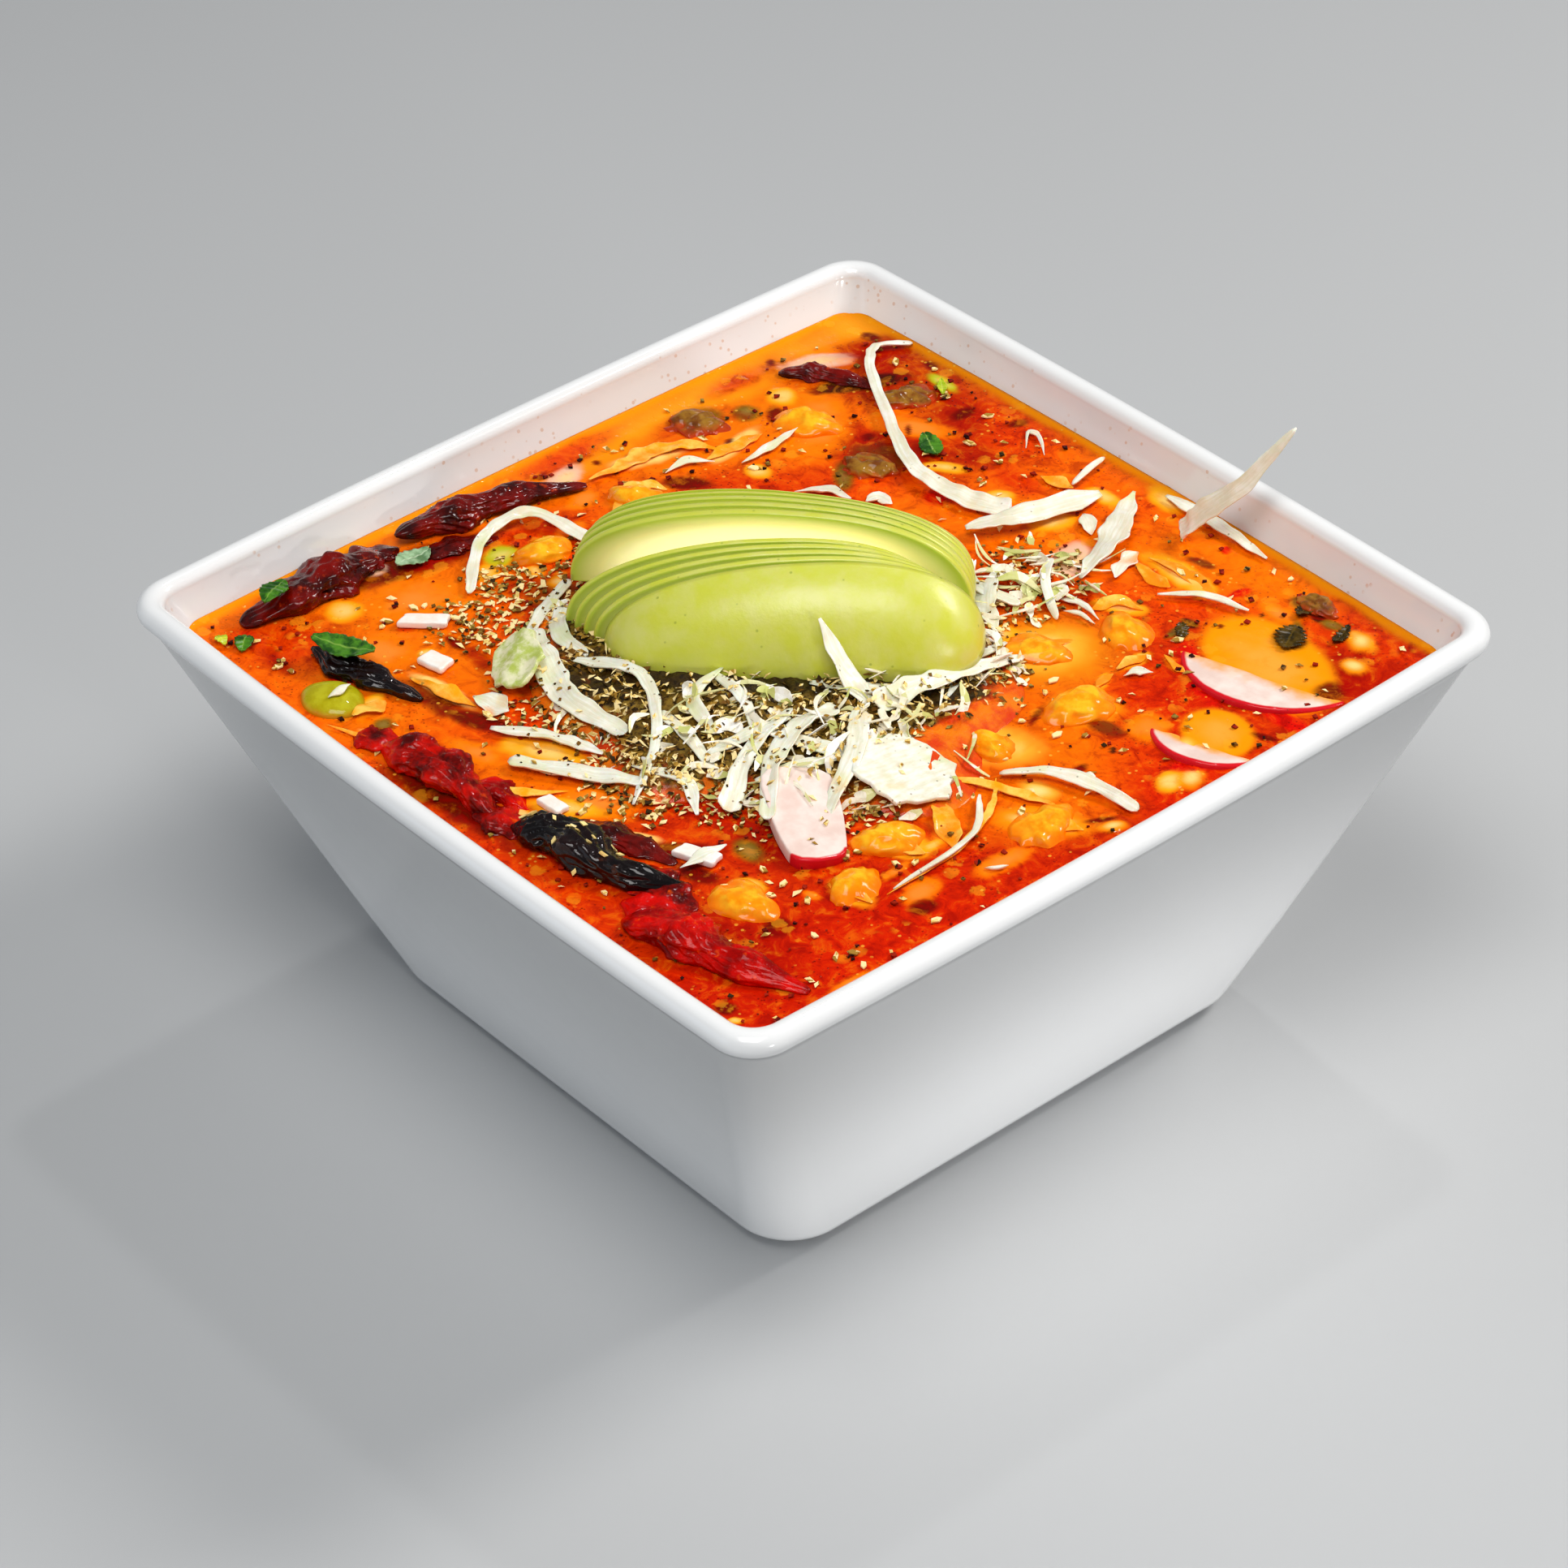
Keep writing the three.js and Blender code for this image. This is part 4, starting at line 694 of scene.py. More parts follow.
# %% Rings of a creased tube
def chilli_rings(points, radius, flat, seed):
    along, rings = route(points), []
    length = sum(np.linalg.norm(along(k / 20)[0] - along((k + 1) / 20)[0]) for k in range(20))
    steps = int(length * 3)
    for i in range(steps + 1):
        t = i / steps
        centre, ahead = along(t)
        side = np.cross((0, 0, 1), ahead)
        side = side / np.linalg.norm(side)
        up = np.cross(ahead, side)
        belly = min(1, math.sqrt(t / 0.3)) * min(1, math.sqrt((1 - t) / 0.62 + 0.02))
        pinch = 1 + 0.16 * math.sin(t * 19 + seed)
        ring = []
        for j in range(CHILLI_SIDES):
            angle = j / CHILLI_SIDES * 2 * math.pi
            crease = 1 + 0.15 * math.sin(3 * angle + 5 * t + seed)
            spot = Vector((math.cos(angle) * 1.6, math.sin(angle) * 1.6, t * length * 0.16 + seed * 9))
            fold = 1 - abs(noise.noise(spot)) * 3
            fold += 0.6 * (1 - abs(noise.noise(spot * 2.3)) * 4)
            wring = 0.12 * fold + 0.06 * math.sin(11 * angle + 9 * math.sin(t * 7 + seed))
            r = max(radius * belly * pinch * (crease + wring * belly), 0.6)
            ring.append(centre + side * r * math.cos(angle) + up * r * flat * math.sin(angle))
        rings.append(ring)
    return rings


def add_chilli(name, kind, shape, replaced=()):
    slot = ("dark" if kind == "mixed" else kind) + "_chilli"
    dress(name, *loft(chilli_rings(*shape)), CHILLI_FINISH[kind], slot, replaced)


for node, kind, *shape in CHILLIES:
    add_chilli("dried_" + node, kind, shape, [node])
for i, (kind, *shape) in enumerate(SKINS):
    add_chilli(f"torn_skin_{i + 1}", kind, (*shape, SKIN_SEED + i))
print("chillies:", len(CHILLIES), "torn skins:", len(SKINS))

# %% [markdown]
# ## Kernels, meat and a bean
# Hominy is maize whose kernels swell until they burst into soft knobs. Each is a ball pushed in and out
# by slow waves, finer than the plain one but with the same waves, so it keeps the same bulk. A wet piece
# takes the broth's colour where it dips in, so the finish fades from broth to kernel with height.

# %% Lumps of soft food
KERNELS = [  # place and turn
    (32.9, 32.8, 0.4), (53.1, 25.8, 1.2), (51, 3.5, 0.2), (77, -5.8, 1.8), (60, -31, 0.9), (66.5, -45.5, 2.2),
    (55.8, -64.2, 0.1), (-62.7, -18.8, 1.3), (-62.8, 53.9, 0.7), (40.5, 50.6, 2.6), (-65.3, 8, 0.5),
]
MEAT_SEED, BEAN_SEED = 20, 41
MEAT = [  # place, three half sizes, depth of the middle, turn
    (-79, 36, 7, 4.6, 3, 0.9, 0.8), (-40.7, 52, 6.5, 4.5, 3, 0.9, 0.3),
    (-56, 76, 7, 5, 3, 0.9, 1.1), (60.5, 85.4, 4.6, 2.9, 1.9, -0.1, 0.1),
]


def swell(x, y, z, seed):
    a = math.sin(x * 1.7 + seed * 3.1) * math.cos(y * 2.3 + seed)
    return 0.6 * a + 0.4 * math.sin(y * 1.3 + z * 2.9 + seed * 1.7)


def lump(name, node, middle, radii, turn, rough, seed, knobs, finish, slot):
    """A ball pushed in and out by slow waves, with knobs on top of them."""
    ball = bmesh.new()
    bmesh.ops.create_icosphere(ball, subdivisions=5, radius=1)
    c, s = math.cos(turn), math.sin(turn)
    points = []
    for vert in ball.verts:
        p = vert.co
        size = 1 + rough * swell(p.x * 1.6, p.y * 1.6, p.z * 1.6, seed)
        size += knobs * (0.5 - abs(noise.noise(p * 1.9 + Vector((seed * 7, 0, 0)))) * 2.2)
        x, y, z = (p[k] * size * radii[k] for k in range(3))
        points.append((middle[0] + c * x - s * y, middle[1] + s * x + c * y, middle[2] + z))
    faces = [tuple(v.index for v in face.verts) for face in ball.faces]
    ball.free()
    dress(name, points, faces, finish, slot, [node])


def soft_finish(name, low, high, edge, reach=1.6, gloss=0.2, grain=1.6):
    """Soft wet food in two tones, which takes the tone `edge` up to `reach` mm above the broth."""
    finish = Finish(name, IOR=1.4, Specular_IOR_Level=0.08, Coat_Weight=0.35, Coat_Roughness=0.04)
    tone = finish.mix(finish.patches(3.2, 4, 0.35, 0.65, 0.6), low, high)
    ragged = finish.height() + (finish.noise(3, 3) - 0.5) * 0.0022
    wet = finish.fade(ragged, (LEVEL + reach) * MM, (LEVEL + 0.1) * MM)
    finish.feed(Base_Color=finish.mix(wet * 0.9, tone, edge), Roughness=finish.noise(2, 2) * 0.2 + gloss)
    finish.bump(finish.noise(grain, 4, 0.6), 0.3, 0.5)
    return finish


hominy = soft_finish("hominy", (255, 148, 0), (255, 192, 34), (252, 118, 0), 2.8, 0.12, 5)
stewed_meat = soft_finish("stewed_meat", (112, 56, 14), (160, 112, 34), (190, 50, 6), gloss=0.3)
green_bean = soft_finish("green_bean", (170, 160, 10), (186, 180, 30), (190, 120, 8), grain=4)
for i, (x, y, turn) in enumerate(KERNELS):
    size = 1 + 0.12 * math.sin(i * 2.4)
    middle = (x, y, LEVEL - 1.6 + 0.5 * math.sin(i * 1.9))
    radii = (7.6 * size, 5.6 * size, 4.3)
    lump(f"kernel_{i + 1}", f"hominy_{i + 1}", middle, radii, turn, 0.13, i, 0.09, hominy, "hominy")
for i, (x, y, *radii, sink, turn) in enumerate(MEAT):
    name, node, middle = f"meat_lump_{i + 1}", f"meat_{i + 1}", (x, y, LEVEL - sink)
    lump(name, node, middle, radii, turn, 0.2, MEAT_SEED + i, 0.2, stewed_meat, "stewed_meat")
middle, radii = (-50.5, -82.5, LEVEL - 0.7), (7.2, 6, 3.4)
lump("round_bean", "bean", middle, radii, 0.2, 0.05, BEAN_SEED, 0, green_bean, "green_bean")
print("lumps:", len(KERNELS) + len(MEAT) + 1)

# %% [markdown]
# ## Radish slices
# A radish slice is a disc with a hair of red skin round white flesh. Where it leans into the broth its
# white turns orange. The mark `edge` counts the millimetres from the skin, so the red line keeps one
# width all round, which a pattern in plain space couldn't do on a slice that isn't round.

# %% Cut and place the slices
RADISH_THICK, INSETS = 3, (16, 12, 8, 5, 3, 2, 1.4, 0.9)


def rounded_plate(outline, thick, inset_steps, tilt_x, tilt_y, turn, place):
    """A slice from its outline: rings over the top, round the edge and under, then tilted and placed."""
    outline = np.array(outline, dtype=float)
    middle = outline.mean(axis=0)
    reach = np.linalg.norm(outline - middle, axis=1).mean()
    soft = min(0.45, thick / 3)
    rows = [(inset, thick / 2) for inset in inset_steps]
    rows += [(soft - soft * math.sin(a), thick / 2 - soft + soft * math.cos(a)) for a in (0.0, 0.5, 1.05, 1.57)]
    rows += [(inset, -z) for inset, z in reversed(rows)]
    spin = Matrix.Rotation(tilt_y, 3, "Y") @ Matrix.Rotation(tilt_x, 3, "X") @ Matrix.Rotation(turn, 3, "Z")
    rings, edge = [], []
    for inset, z in rows:
        flat = middle + (outline - middle) * (1 - inset / reach)
        ring = np.column_stack([flat, np.full(len(flat), z)])
        rings.append(ring @ np.array(spin).T + place)
        edge += [inset] * len(flat)
    return rings, edge + [reach, reach]


def ellipse(rx, ry, count=96):
    return [(rx * math.cos(i / count * 2 * math.pi), ry * math.sin(i / count * 2 * math.pi)) for i in range(count)]


def softened(outline):
    for _ in range(2):
        outline = [
            (a[0] * s + b[0] * (1 - s), a[1] * s + b[1] * (1 - s))
            for a, b in zip(outline, outline[1:] + outline[:1]) for s in (0.8, 0.2)
        ]
    return outline


radish = Finish("radish", IOR=1.4, Specular_IOR_Level=0.12, Coat_Weight=0.3, Coat_Roughness=0.06)
from_skin = radish.own("edge")
white = radish.mix(radish.patches(5, 3, 0.3, 0.7), (232, 204, 192), (246, 228, 218))
dipped = radish.fade(radish.height() + (radish.noise(6, 3) - 0.5) * 0.0008, (LEVEL + 0.5) * MM, LEVEL * MM)
white = radish.mix(dipped * 0.95, white, (255, 158, 8))
red = radish.fade(from_skin + radish.noise(4, 2) * 0.5, 1.5, 0.9)
radish.feed(Base_Color=radish.mix(red, white, (214, 22, 34)), Roughness=radish.noise(4, 2) * 0.15 + 0.15)
radish.bump(radish.noise(2.5, 3), 0.15, 0.4)
wedge = softened([(-14, -6.6), (4, -7), (13.6, -5.4), (14.7, -1), (14.4, 3.6), (12.8, 5.6), (2, 7.4), (-11, 8)])
for node, outline, insets, *lie in (
    ("radish_large", ellipse(20, 18.5), INSETS, -0.1, -0.03, 0.5, (68.3, 66.5, LEVEL - 2.15)),
    ("radish_small", ellipse(12.6, 11), INSETS[2:], -0.16, -0.05, 0.2, (77.3, 38.5, LEVEL - 2.05)),
    ("radish_front", wedge, INSETS[3:], 0, 0.13, -0.47, (45, -39.5, LEVEL + 2.4)),
):
    rings, edge = rounded_plate(outline, RADISH_THICK, insets, *lie)
    slice_points, slice_faces = loft(rings)
    if node == "radish_front":  # a wedge has skin on its far end only
        edge = [mark + max(0, 12.5 - outline[i % len(outline)][0]) for i, mark in enumerate(edge)]
    dress("slice_of_" + node, slice_points, slice_faces, radish, "radish", [node], edge=edge)
print("radish slices: 3")

# %% [markdown]
# ## The heap of cabbage
# The heap is a low mound, wet at its foot and painted dark for the shade in its gaps, with shreds laid over it and
# dried oregano over all. The mound only fills the middle of the heap, so it takes the colours that show between
# shreds: broth at its foot, and above it brown and green with painted shade, darkest in a painted shadow in front
# of the avocado's lower edge. The shreds are ribbons with a curled section, because a flat strip looks like paper
# and a real shred of cabbage has thick pale ribs.

# %% The mound
HEAP_MIDDLE, HEAP_RADIUS, HEAP_RISE, FLOAT = (6, -14), 47, 4.6, LEVEL + GAP


def heap_radius(angle):
    return HEAP_RADIUS + 5 * math.sin(angle * 2 + 0.9) + 3 * math.sin(angle * 5 + 2) + 2 * math.cos(angle * 9)


def heap_height(share, angle):
    bump = 0.55 * math.sin(angle * 11 + share * 17) + 0.4 * math.sin(angle * 7 - share * 23)
    return 0.7 + HEAP_RISE * (1 - share ** 2.2) + bump * min(share * 4, 1) * (1 - share * 0.5)


def heap_place(x, y):
    """Share of the way from the heap's middle to its foot, and the angle round it."""
    dx, dy = x - HEAP_MIDDLE[0], y - HEAP_MIDDLE[1]
    angle = math.atan2(dy, dx)
    return math.hypot(dx, dy) / heap_radius(angle), angle


def heap_top(x, y):
    share, angle = heap_place(x, y)
    return FLOAT + heap_height(share, angle) if share < 1 else FLOAT


def heap_ring(share, spokes=180):
    ring = []
    for j in range(spokes):
        angle = j / spokes * 2 * math.pi
        r = heap_radius(angle) * share
        x, y = HEAP_MIDDLE[0] + r * math.cos(angle), HEAP_MIDDLE[1] + r * math.sin(angle)
        rough = 0.5 * noise.noise(Vector((x * 0.45, y * 0.45, 3))) + 0.4 * noise.noise(Vector((x, y, 7)))
        fall = min((1 - share) * 9, 1)
        ring.append((x, y, FLOAT - 0.5 + (heap_height(share, angle) + 0.5 + rough) * fall ** 0.5))
    return ring


def painted_shadow_under_fruit(x, y):
    """1 in the painted shadow in front of the avocado's lower edge, fading out over the next centimetre."""
    ahead = (x - FAN_START[0] - y + FAN_START[1]) / math.sqrt(2)
    return smooth(abs(ahead - 1.5), 8, 2)


def heaped(x, y):
    """1 where the heap is piled with shreds, 0 at its right edge, where it runs out into the broth."""
    end = mix_up(56, 40, smooth(y, -18, -6))
    return smooth(x, end + 4, end - 4)


def spread(mark, points):
    """The value of a mark, a function of x and y, at every point."""
    return [mark(p[0], p[1]) for p in points]


heap_rings = [heap_ring(1 - (i / 46) ** 1.2) for i in range(45)]
floor_ring = [(x, y, FLOAT - 0.7) for x, y, z in heap_rings[0]]
mound = Finish("heap_mound", Specular_IOR_Level=0.1, Coat_Weight=0.25, Coat_Roughness=0.1)
# Painted shade: the mound is dark brown with darker blots for the shade between the shreds, and darker still in the
# painted shadow given by the mark `shadow`.
mound_with_painted_shade = mound.mix(mound.patches(2.6, 4, 0.35, 0.65, 0.65), (78, 48, 8), (148, 116, 40))
mound_with_painted_shade = mound.mix(mound.patches(1.2, 3, 0.5, 0.66), mound_with_painted_shade, (40, 26, 8))
mound_with_painted_shade = mound.mix(mound.own("shadow") * 0.85, mound_with_painted_shade, (38, 26, 8))
ragged_foot = mound.height() + (mound.noise(4, 4, 0.6) - 0.5) * 0.0035
foot_share = mound.fade(ragged_foot, (FLOAT + 2.6) * MM, (FLOAT + 0.6) * MM)
bare = mound.fade(mound.own("open") + (mound.noise(5, 3) - 0.5) * 0.8, 0.65, 0.35)
foot_share = foot_share.maths("MAXIMUM", foot_share, bare)
soup = mound.mix(mound.patches(6, 3, 0.35, 0.65), (222, 60, 4), (246, 124, 10))
mound_with_painted_shade = mound.mix(foot_share, mound_with_painted_shade, soup)
mound.feed(Base_Color=mound_with_painted_shade, Roughness=mound.noise(3, 3) * 0.3 + 0.25)
mound.bump(mound.noise(1.3, 4, 0.6), 0.8, 0.8)
mound_points, mound_faces = loft([floor_ring, *heap_rings])
dress("heap_mound", mound_points, mound_faces, mound, "cabbage", ["cabbage_heap"],
      shadow=spread(painted_shadow_under_fruit, mound_points), open=spread(heaped, mound_points))
print("highest point of the mound:", round(max(p[2] for p in mound_points), 1), "mm")

# %% The cabbage and its ribbons
cabbage = Finish(
    "cabbage", IOR=1.4, Subsurface_Weight=0.2, Subsurface_Scale=0.004, Coat_Weight=0.25, Coat_Roughness=0.1)
fibre = cabbage.noise(1.1, 3, 0.6, at=cabbage.own("fibre", "Vector"))
vein = cabbage.fade(cabbage.noise(5, 4, 0.6) * 0.5 + fibre * 0.5, 0.35, 0.62)
leafy = cabbage.mix(vein, (254, 247, 234), (232, 222, 194))
leafy = cabbage.mix(cabbage.patches(13, 2, 0.55, 0.72) * 0.6, leafy, (214, 220, 138))
leafy = cabbage.mix(cabbage.patches(9, 3, 0.6, 0.72) * 0.5, leafy, (248, 206, 140))
specked = cabbage.fade(cabbage.cells(1.7), 0.18, 0.09) * cabbage.patches(8, 2, 0.5, 0.6)
leafy = cabbage.mix(specked * 0.7, leafy, (120, 92, 46))
ragged_edge = cabbage.height() + (cabbage.noise(5, 3) - 0.5) * 0.0014
soaked = cabbage.fade(ragged_edge, (LEVEL + 1.0) * MM, (LEVEL + 0.2) * MM)
leafy = cabbage.mix(soaked * 0.85, leafy, (252, 150, 40))
cabbage.feed(Base_Color=leafy, Roughness=cabbage.noise(4, 2) * 0.2 + 0.28)
cabbage.bump(cabbage.noise(2.4, 3, 0.5) * 0.5 + fibre * 0.5, 0.25, 0.6)


CURL, FRILL = 0.5, 0.16


def ribbon(points, widths, thick, twist, seed, torn=False, sides=14):
    """Rings of a curled, frilled shred, and a mark on each point that says how far across and along it is.
    A torn shred has long pointed ends and a ragged outline; a cut one is blunt, or tapers when its seed is odd."""
    along, rings, fibre = route(points), [], []
    length = sum(np.linalg.norm(along(k / 12)[0] - along((k + 1) / 12)[0]) for k in range(12))
    steps = max(10, int(length * 1.2)) if sides > 6 else 7
    tip_size, stray = (0.12, 0.9) if torn else (0.35, 0.3)
    tip_steps = steps * (0.3 + 0.1 * math.sin(seed * 2.3)) if torn else (1.2, 6)[seed % 2]
    for i in range(steps + 1):
        t = i / steps
        centre, ahead = along(t)
        side = np.cross((0, 0, 1), ahead)
        steep = np.linalg.norm(side) <= 0.2
        side = np.array((1.0, 0, 0)) - ahead * ahead[0] if steep else side / np.linalg.norm(side)
        sway = 0.3 * noise.noise(Vector((t * length * 0.12, seed * 2.3, 1)))
        turn = Matrix.Rotation(mix_up(*twist, t) + sway, 3, Vector(ahead))
        side = np.array(turn @ Vector(side / np.linalg.norm(side)))
        up = np.cross(ahead, side)
        width = mix_up(widths[0], widths[1], t * 2) if t < 0.5 else mix_up(widths[1], widths[2], t * 2 - 1)
        tip = min(1, tip_size + (1 - tip_size) * min(t, 1 - t) * steps / tip_steps)
        ring = []
        for k in range(sides):
            angle = (k + 0.5) / sides * 2 * math.pi
            across = math.copysign(abs(math.cos(angle)) ** 0.5, math.cos(angle))
            over = math.copysign(abs(math.sin(angle)) ** 0.6, math.sin(angle))
            wave = FRILL * width * noise.noise(Vector((t * length * 0.22, across * 0.8, seed * 5.1)))
            lift = across * across - 0.5 + 0.5 * across * math.sin(t * 5 + seed)
            rise = (CURL * lift * min(width * 0.3, 1.2) + wave) * tip
            rib = 1 - 0.5 * across ** 2 + 0.25 * noise.noise(Vector((across * 2, t * length * 0.1, seed)))
            edge = 1 + stray * noise.noise(Vector((t * length * 0.25, seed * 3.7, math.copysign(2, across))))
            ring.append(centre + side * across * width / 2 * tip * edge + up * (over * thick / 2 * rib * tip + rise))
            fibre.append((across * width * MM, t * length * 0.12 * MM, seed * 10 * MM, 1))
        rings.append(ring)
    return rings, fibre + [fibre[0], fibre[-1]]


def crisp(corners, between=5):
    """An outline whose corners stay corners, with points along its sides that wander a little."""
    outline = []
    for k, (a, b) in enumerate(zip(corners, corners[1:] + corners[:1])):
        for step in range(between):
            x, y = mix_up(a[0], b[0], step / between), mix_up(a[1], b[1], step / between)
            stray = 1 + 0.05 * math.sin(step * 2.4 + k * 1.7) * (step > 0)
            outline.append((x * stray, y * stray))
    return outline


def add_ribbon(name, finish, replaced, *shape, **more):
    rings, fibre = ribbon(*shape, **more)
    dress(name, *loft(rings), finish, "cabbage", replaced, fibre=fibre)


def gather(parts):
    """Several closed skins as one list of points and faces."""
    points, faces = [], []
    for part_points, part_faces in parts:
        start = len(points)
        points += [tuple(p) for p in part_points]
        faces += [tuple(i + start for i in face) for face in part_faces]
    return points, faces


print("a ribbon 10 mm long has", len(ribbon([(0, 0, 0), (10, 0, 0)], (3, 3, 3), 1, (0, 0), 0)[0]), "rings")

# %% Shreds that lie on the mound
SHREDS = [  # plan points, their rise above the mound, widths at the ends and the middle, twist
    ([(-40, -41), (-28, -46), (-15, -50), (2, -49)], (1.4, 2.2, 1.6, 0.8), (6.4, 6.2, 3.5), (0, 0.5)),
    ([(-25, -41), (-10, -36), (7, -45), (19, -61)], (0.6, 1.6, 1.2, 0.2), (3, 2.6, 1.6), (0, 0.5)),
    ([(1, -40), (13, -42), (25, -44)], (0.4, 0.6, 0.2), (2.4, 3, 1.6), (0, 0)),
    ([(-20, -66), (-8, -58), (2, -55)], (-0.2, 0.4, 0.4), (3, 3.4, 2.2), (0, 0)),
    ([(-9, -70), (4, -62), (16, -56)], (-0.6, 0.3, 0.4), (4, 4.4, 2.2), (0.1, 0)),
    ([(2, -24), (5, -34), (15, -37)], (1.6, 1.6, 0.3), (2, 3.4, 2.6), (0.5, 0)),
    ([(33, -49), (25, -36), (21, -22)], (0.2, 1.6, 0.8), (5, 3, 2.4), (0.3, -0.3)),
    ([(30, -12), (40, -22), (51, -43)], (1.2, 2.4, 0.8), (4.6, 4, 3), (-0.2, 0.3)),
    ([(31.5, -9), (32.4, 2), (33.6, 14), (34.4, 28)], (2.2, 2.8, 2.2, 1.4), (5.5, 4.6, 1.4), (0.2, 0.6)),
    ([(16, -13), (26, -5), (31, 2)], (0.4, 1, 0.6), (3, 4, 2.6), (0, 0)),
    ([(20, -30), (32, -26), (43, -17)], (0.6, 1.2, 0.4), (2.6, 3.4, 2), (0, 0.3)),
    ([(10, -54), (22, -50), (30, -54)], (0.2, 0.8, 0.2), (2.4, 3, 2), (0, 0)),
    ([(-42, -30), (-34, -37), (-24, -38)], (0.5, 1.4, 0.5), (3.4, 4, 2), (0, 0.6)),
    ([(8, 44), (14, 36), (24, 30)], (0.4, 1.2, 0.4), (4, 5, 2.6), (0, 0.4)),
    ([(-4, 40), (8, 38), (20, 40)], (0.2, 1, -0.4), (3, 4, 2.6), (0, 0)),
    ([(36, 6), (30, 18), (28, 29)], (0.2, 0.8, 0.4), (2, 2.6, 2), (0, 0)),
    ([(-50, -22), (-44, -34), (-36, -46)], (-0.2, 0.5, 0.3), (2, 2.6, 2), (0, 0)),
    ([(-28, 30), (-14, 34), (0, 36)], (0, 0.8, 0.3), (3, 4, 3), (0, 0)),
    ([(27, -15), (26, -23), (31, -35), (43, -47)], (1.4, 2.2, 2.6, 3.6), (4, 5, 3), (0.1, 0.4)),
    ([(19, -42), (21, -34), (23, -24)], (0.8, 1.6, 1.2), (2.4, 3.4, 2), (0, 0.4)),
    ([(1, -26), (12, -27), (20, -31)], (1.2, 1.8, 1), (1.6, 2.6, 1.6), (0.3, 0)),
    ([(31, -40), (34, -33), (38, -25)], (1, 1.6, 1), (2, 3, 2), (0, 0.2)),
]
parts, fibres = [], []
for i, (plan, rise, widths, twist) in enumerate(SHREDS):
    points = [(x, y, max(heap_top(x, y) + r, FLOAT + 1.1)) for (x, y), r in zip(plan, rise)]
    rings, fibre = ribbon(points, widths, 1.0, twist, i)
    parts.append(loft(rings))
    fibres += fibre
sheet_outline = crisp([(11, 1), (5, 10), (-8, 9), (-11, 0), (-6, -9), (6, -9)])
sheet_lie = (-0.12, 0.16, 0.1, (49, -17, FLOAT + 3.4))
parts.append(loft(rounded_plate(sheet_outline, 1.1, (8, 6, 4.5, 3, 2, 1), *sheet_lie)[0]))
fibres += [(p[0] * MM, p[1] * 0.3 * MM, 0.9, 1) for p in parts[-1][0]]
shred_points, shred_faces = gather(parts)
dress("shreds_on_the_heap", shred_points, shred_faces, cabbage, "cabbage", (), fibre=fibres)
green_leafy = soft_finish("pale_green_leaf", (186, 200, 92), (240, 236, 196), (206, 180, 60), gloss=0.3)
leaf_outline = crisp([(9, 0), (4, 6), (-5, 5.5), (-9, 0), (-5, -5), (4, -6)])
leaf_lie = (0.45, -0.25, -0.6, (-31, -50.5, FLOAT + 4.4))
leaf_points, leaf_faces = loft(rounded_plate(leaf_outline, 1.2, (6, 4, 2.5, 1.2), *leaf_lie)[0])
leaf_points = [
    (x + 0.5 * math.sin(y * 1.3), y, z + 0.45 * math.sin(x * 0.7 + y * 0.4) + 0.2 * math.sin(y * 1.3 - x))
    for x, y, z in leaf_points
]
dress("pale_leaf_on_the_heap", leaf_points, leaf_faces, green_leafy, "cabbage")
print("shreds on the mound:", len(SHREDS))

# %% [markdown]
# ## Loose strands
# The strands that lie on the broth are pieces of their own, with the same ribbon but each on its own
# route. One leans on the avocado and one hangs over the rim, so their ends stand clear of everything.

# %% Strands on the broth
ON, STRAND_SEED = FLOAT + 0.75, 40
STRANDS = [  # node, route, widths at the ends and the middle
    ("strand_back_curl", [(-70.6, 91, ON), (-74.5, 84.5, ON + 0.5), (-70.5, 78.5, ON + 1), (-51, 66.7, ON + 1),
                          (-31, 57, ON + 1.5), (-17, 57.5, ON + 1), (-6.5, 61.5, ON + 0.5)], (1.6, 2.6, 5.5)),
    ("strand_right_thick", [(-7, 49.5, ON + 1.5), (-2, 60, ON + 2.2), (1.5, 80, ON + 0.5)], (4, 5.5, 5)),
    ("strand_right_thin", [(-5, 78, ON + 0.5), (-6.5, 84, ON + 1), (-8, 90, ON + 0.4)], (1.2, 1.4, 0.9)),
    ("strand_right_leaf", [(7, 84.5, ON + 1.5), (16, 70, ON + 1.8), (21, 56, ON)], (2, 7.5, 2.2)),
    ("strand_over_rim", [(22.5, 83, ON - 0.2), (27.5, 84.5, 94.5), (34.5, 88.2, 103), (40.5, 98, 116)], (4.8, 5.2, 1.2)),
    ("strand_right_base", [(11.5, 89.5, ON + 0.5), (27, 89.8, ON + 0.6), (42, 89, ON)], (2.2, 3, 1.4)),
    ("strand_straight", [(12, 56, ON + 0.4), (18, 49, ON + 0.9), (28.5, 42.5, ON)], (1.6, 2.2, 1.6)),
    ("strand_wavy", [(36, 63.6, ON), (43, 70, ON + 0.4), (53, 73, ON + 0.2)], (1.4, 2, 1.4)),
    ("strand_front_right", [(59.5, -1.5, ON), (66, 5, ON + 0.8), (76, 9, ON + 0.6), (86.5, 10.2, ON)], (2.2, 3.4, 2.2)),
    ("strand_front_thin", [(62, -9, ON), (70.5, -18, ON + 0.4), (73, -41, ON)], (1.4, 1.5, 1.1)),
    ("strand_left_arch", [(-60.5, -40, ON), (-73.5, -26, ON + 1.2), (-74, -14, ON + 1.6), (-59, -9.5, ON + 0.3)],
     (2.4, 2.6, 3.2)),
    ("strand_leaning", [(29, -8, 91), (23.5, -8, 95), (19.5, -8.8, 99.5), (14.5, -8.8, 106)], (5, 5.4, 2.6)),
]
for i, (node, points, widths) in enumerate(STRANDS):
    twist = (0.8, 1.0) if node == "strand_over_rim" else (0, 0.3)
    add_ribbon("loose_" + node, cabbage, [node], points, widths, 1.0, twist, STRAND_SEED + i)
print("loose strands:", len(STRANDS))

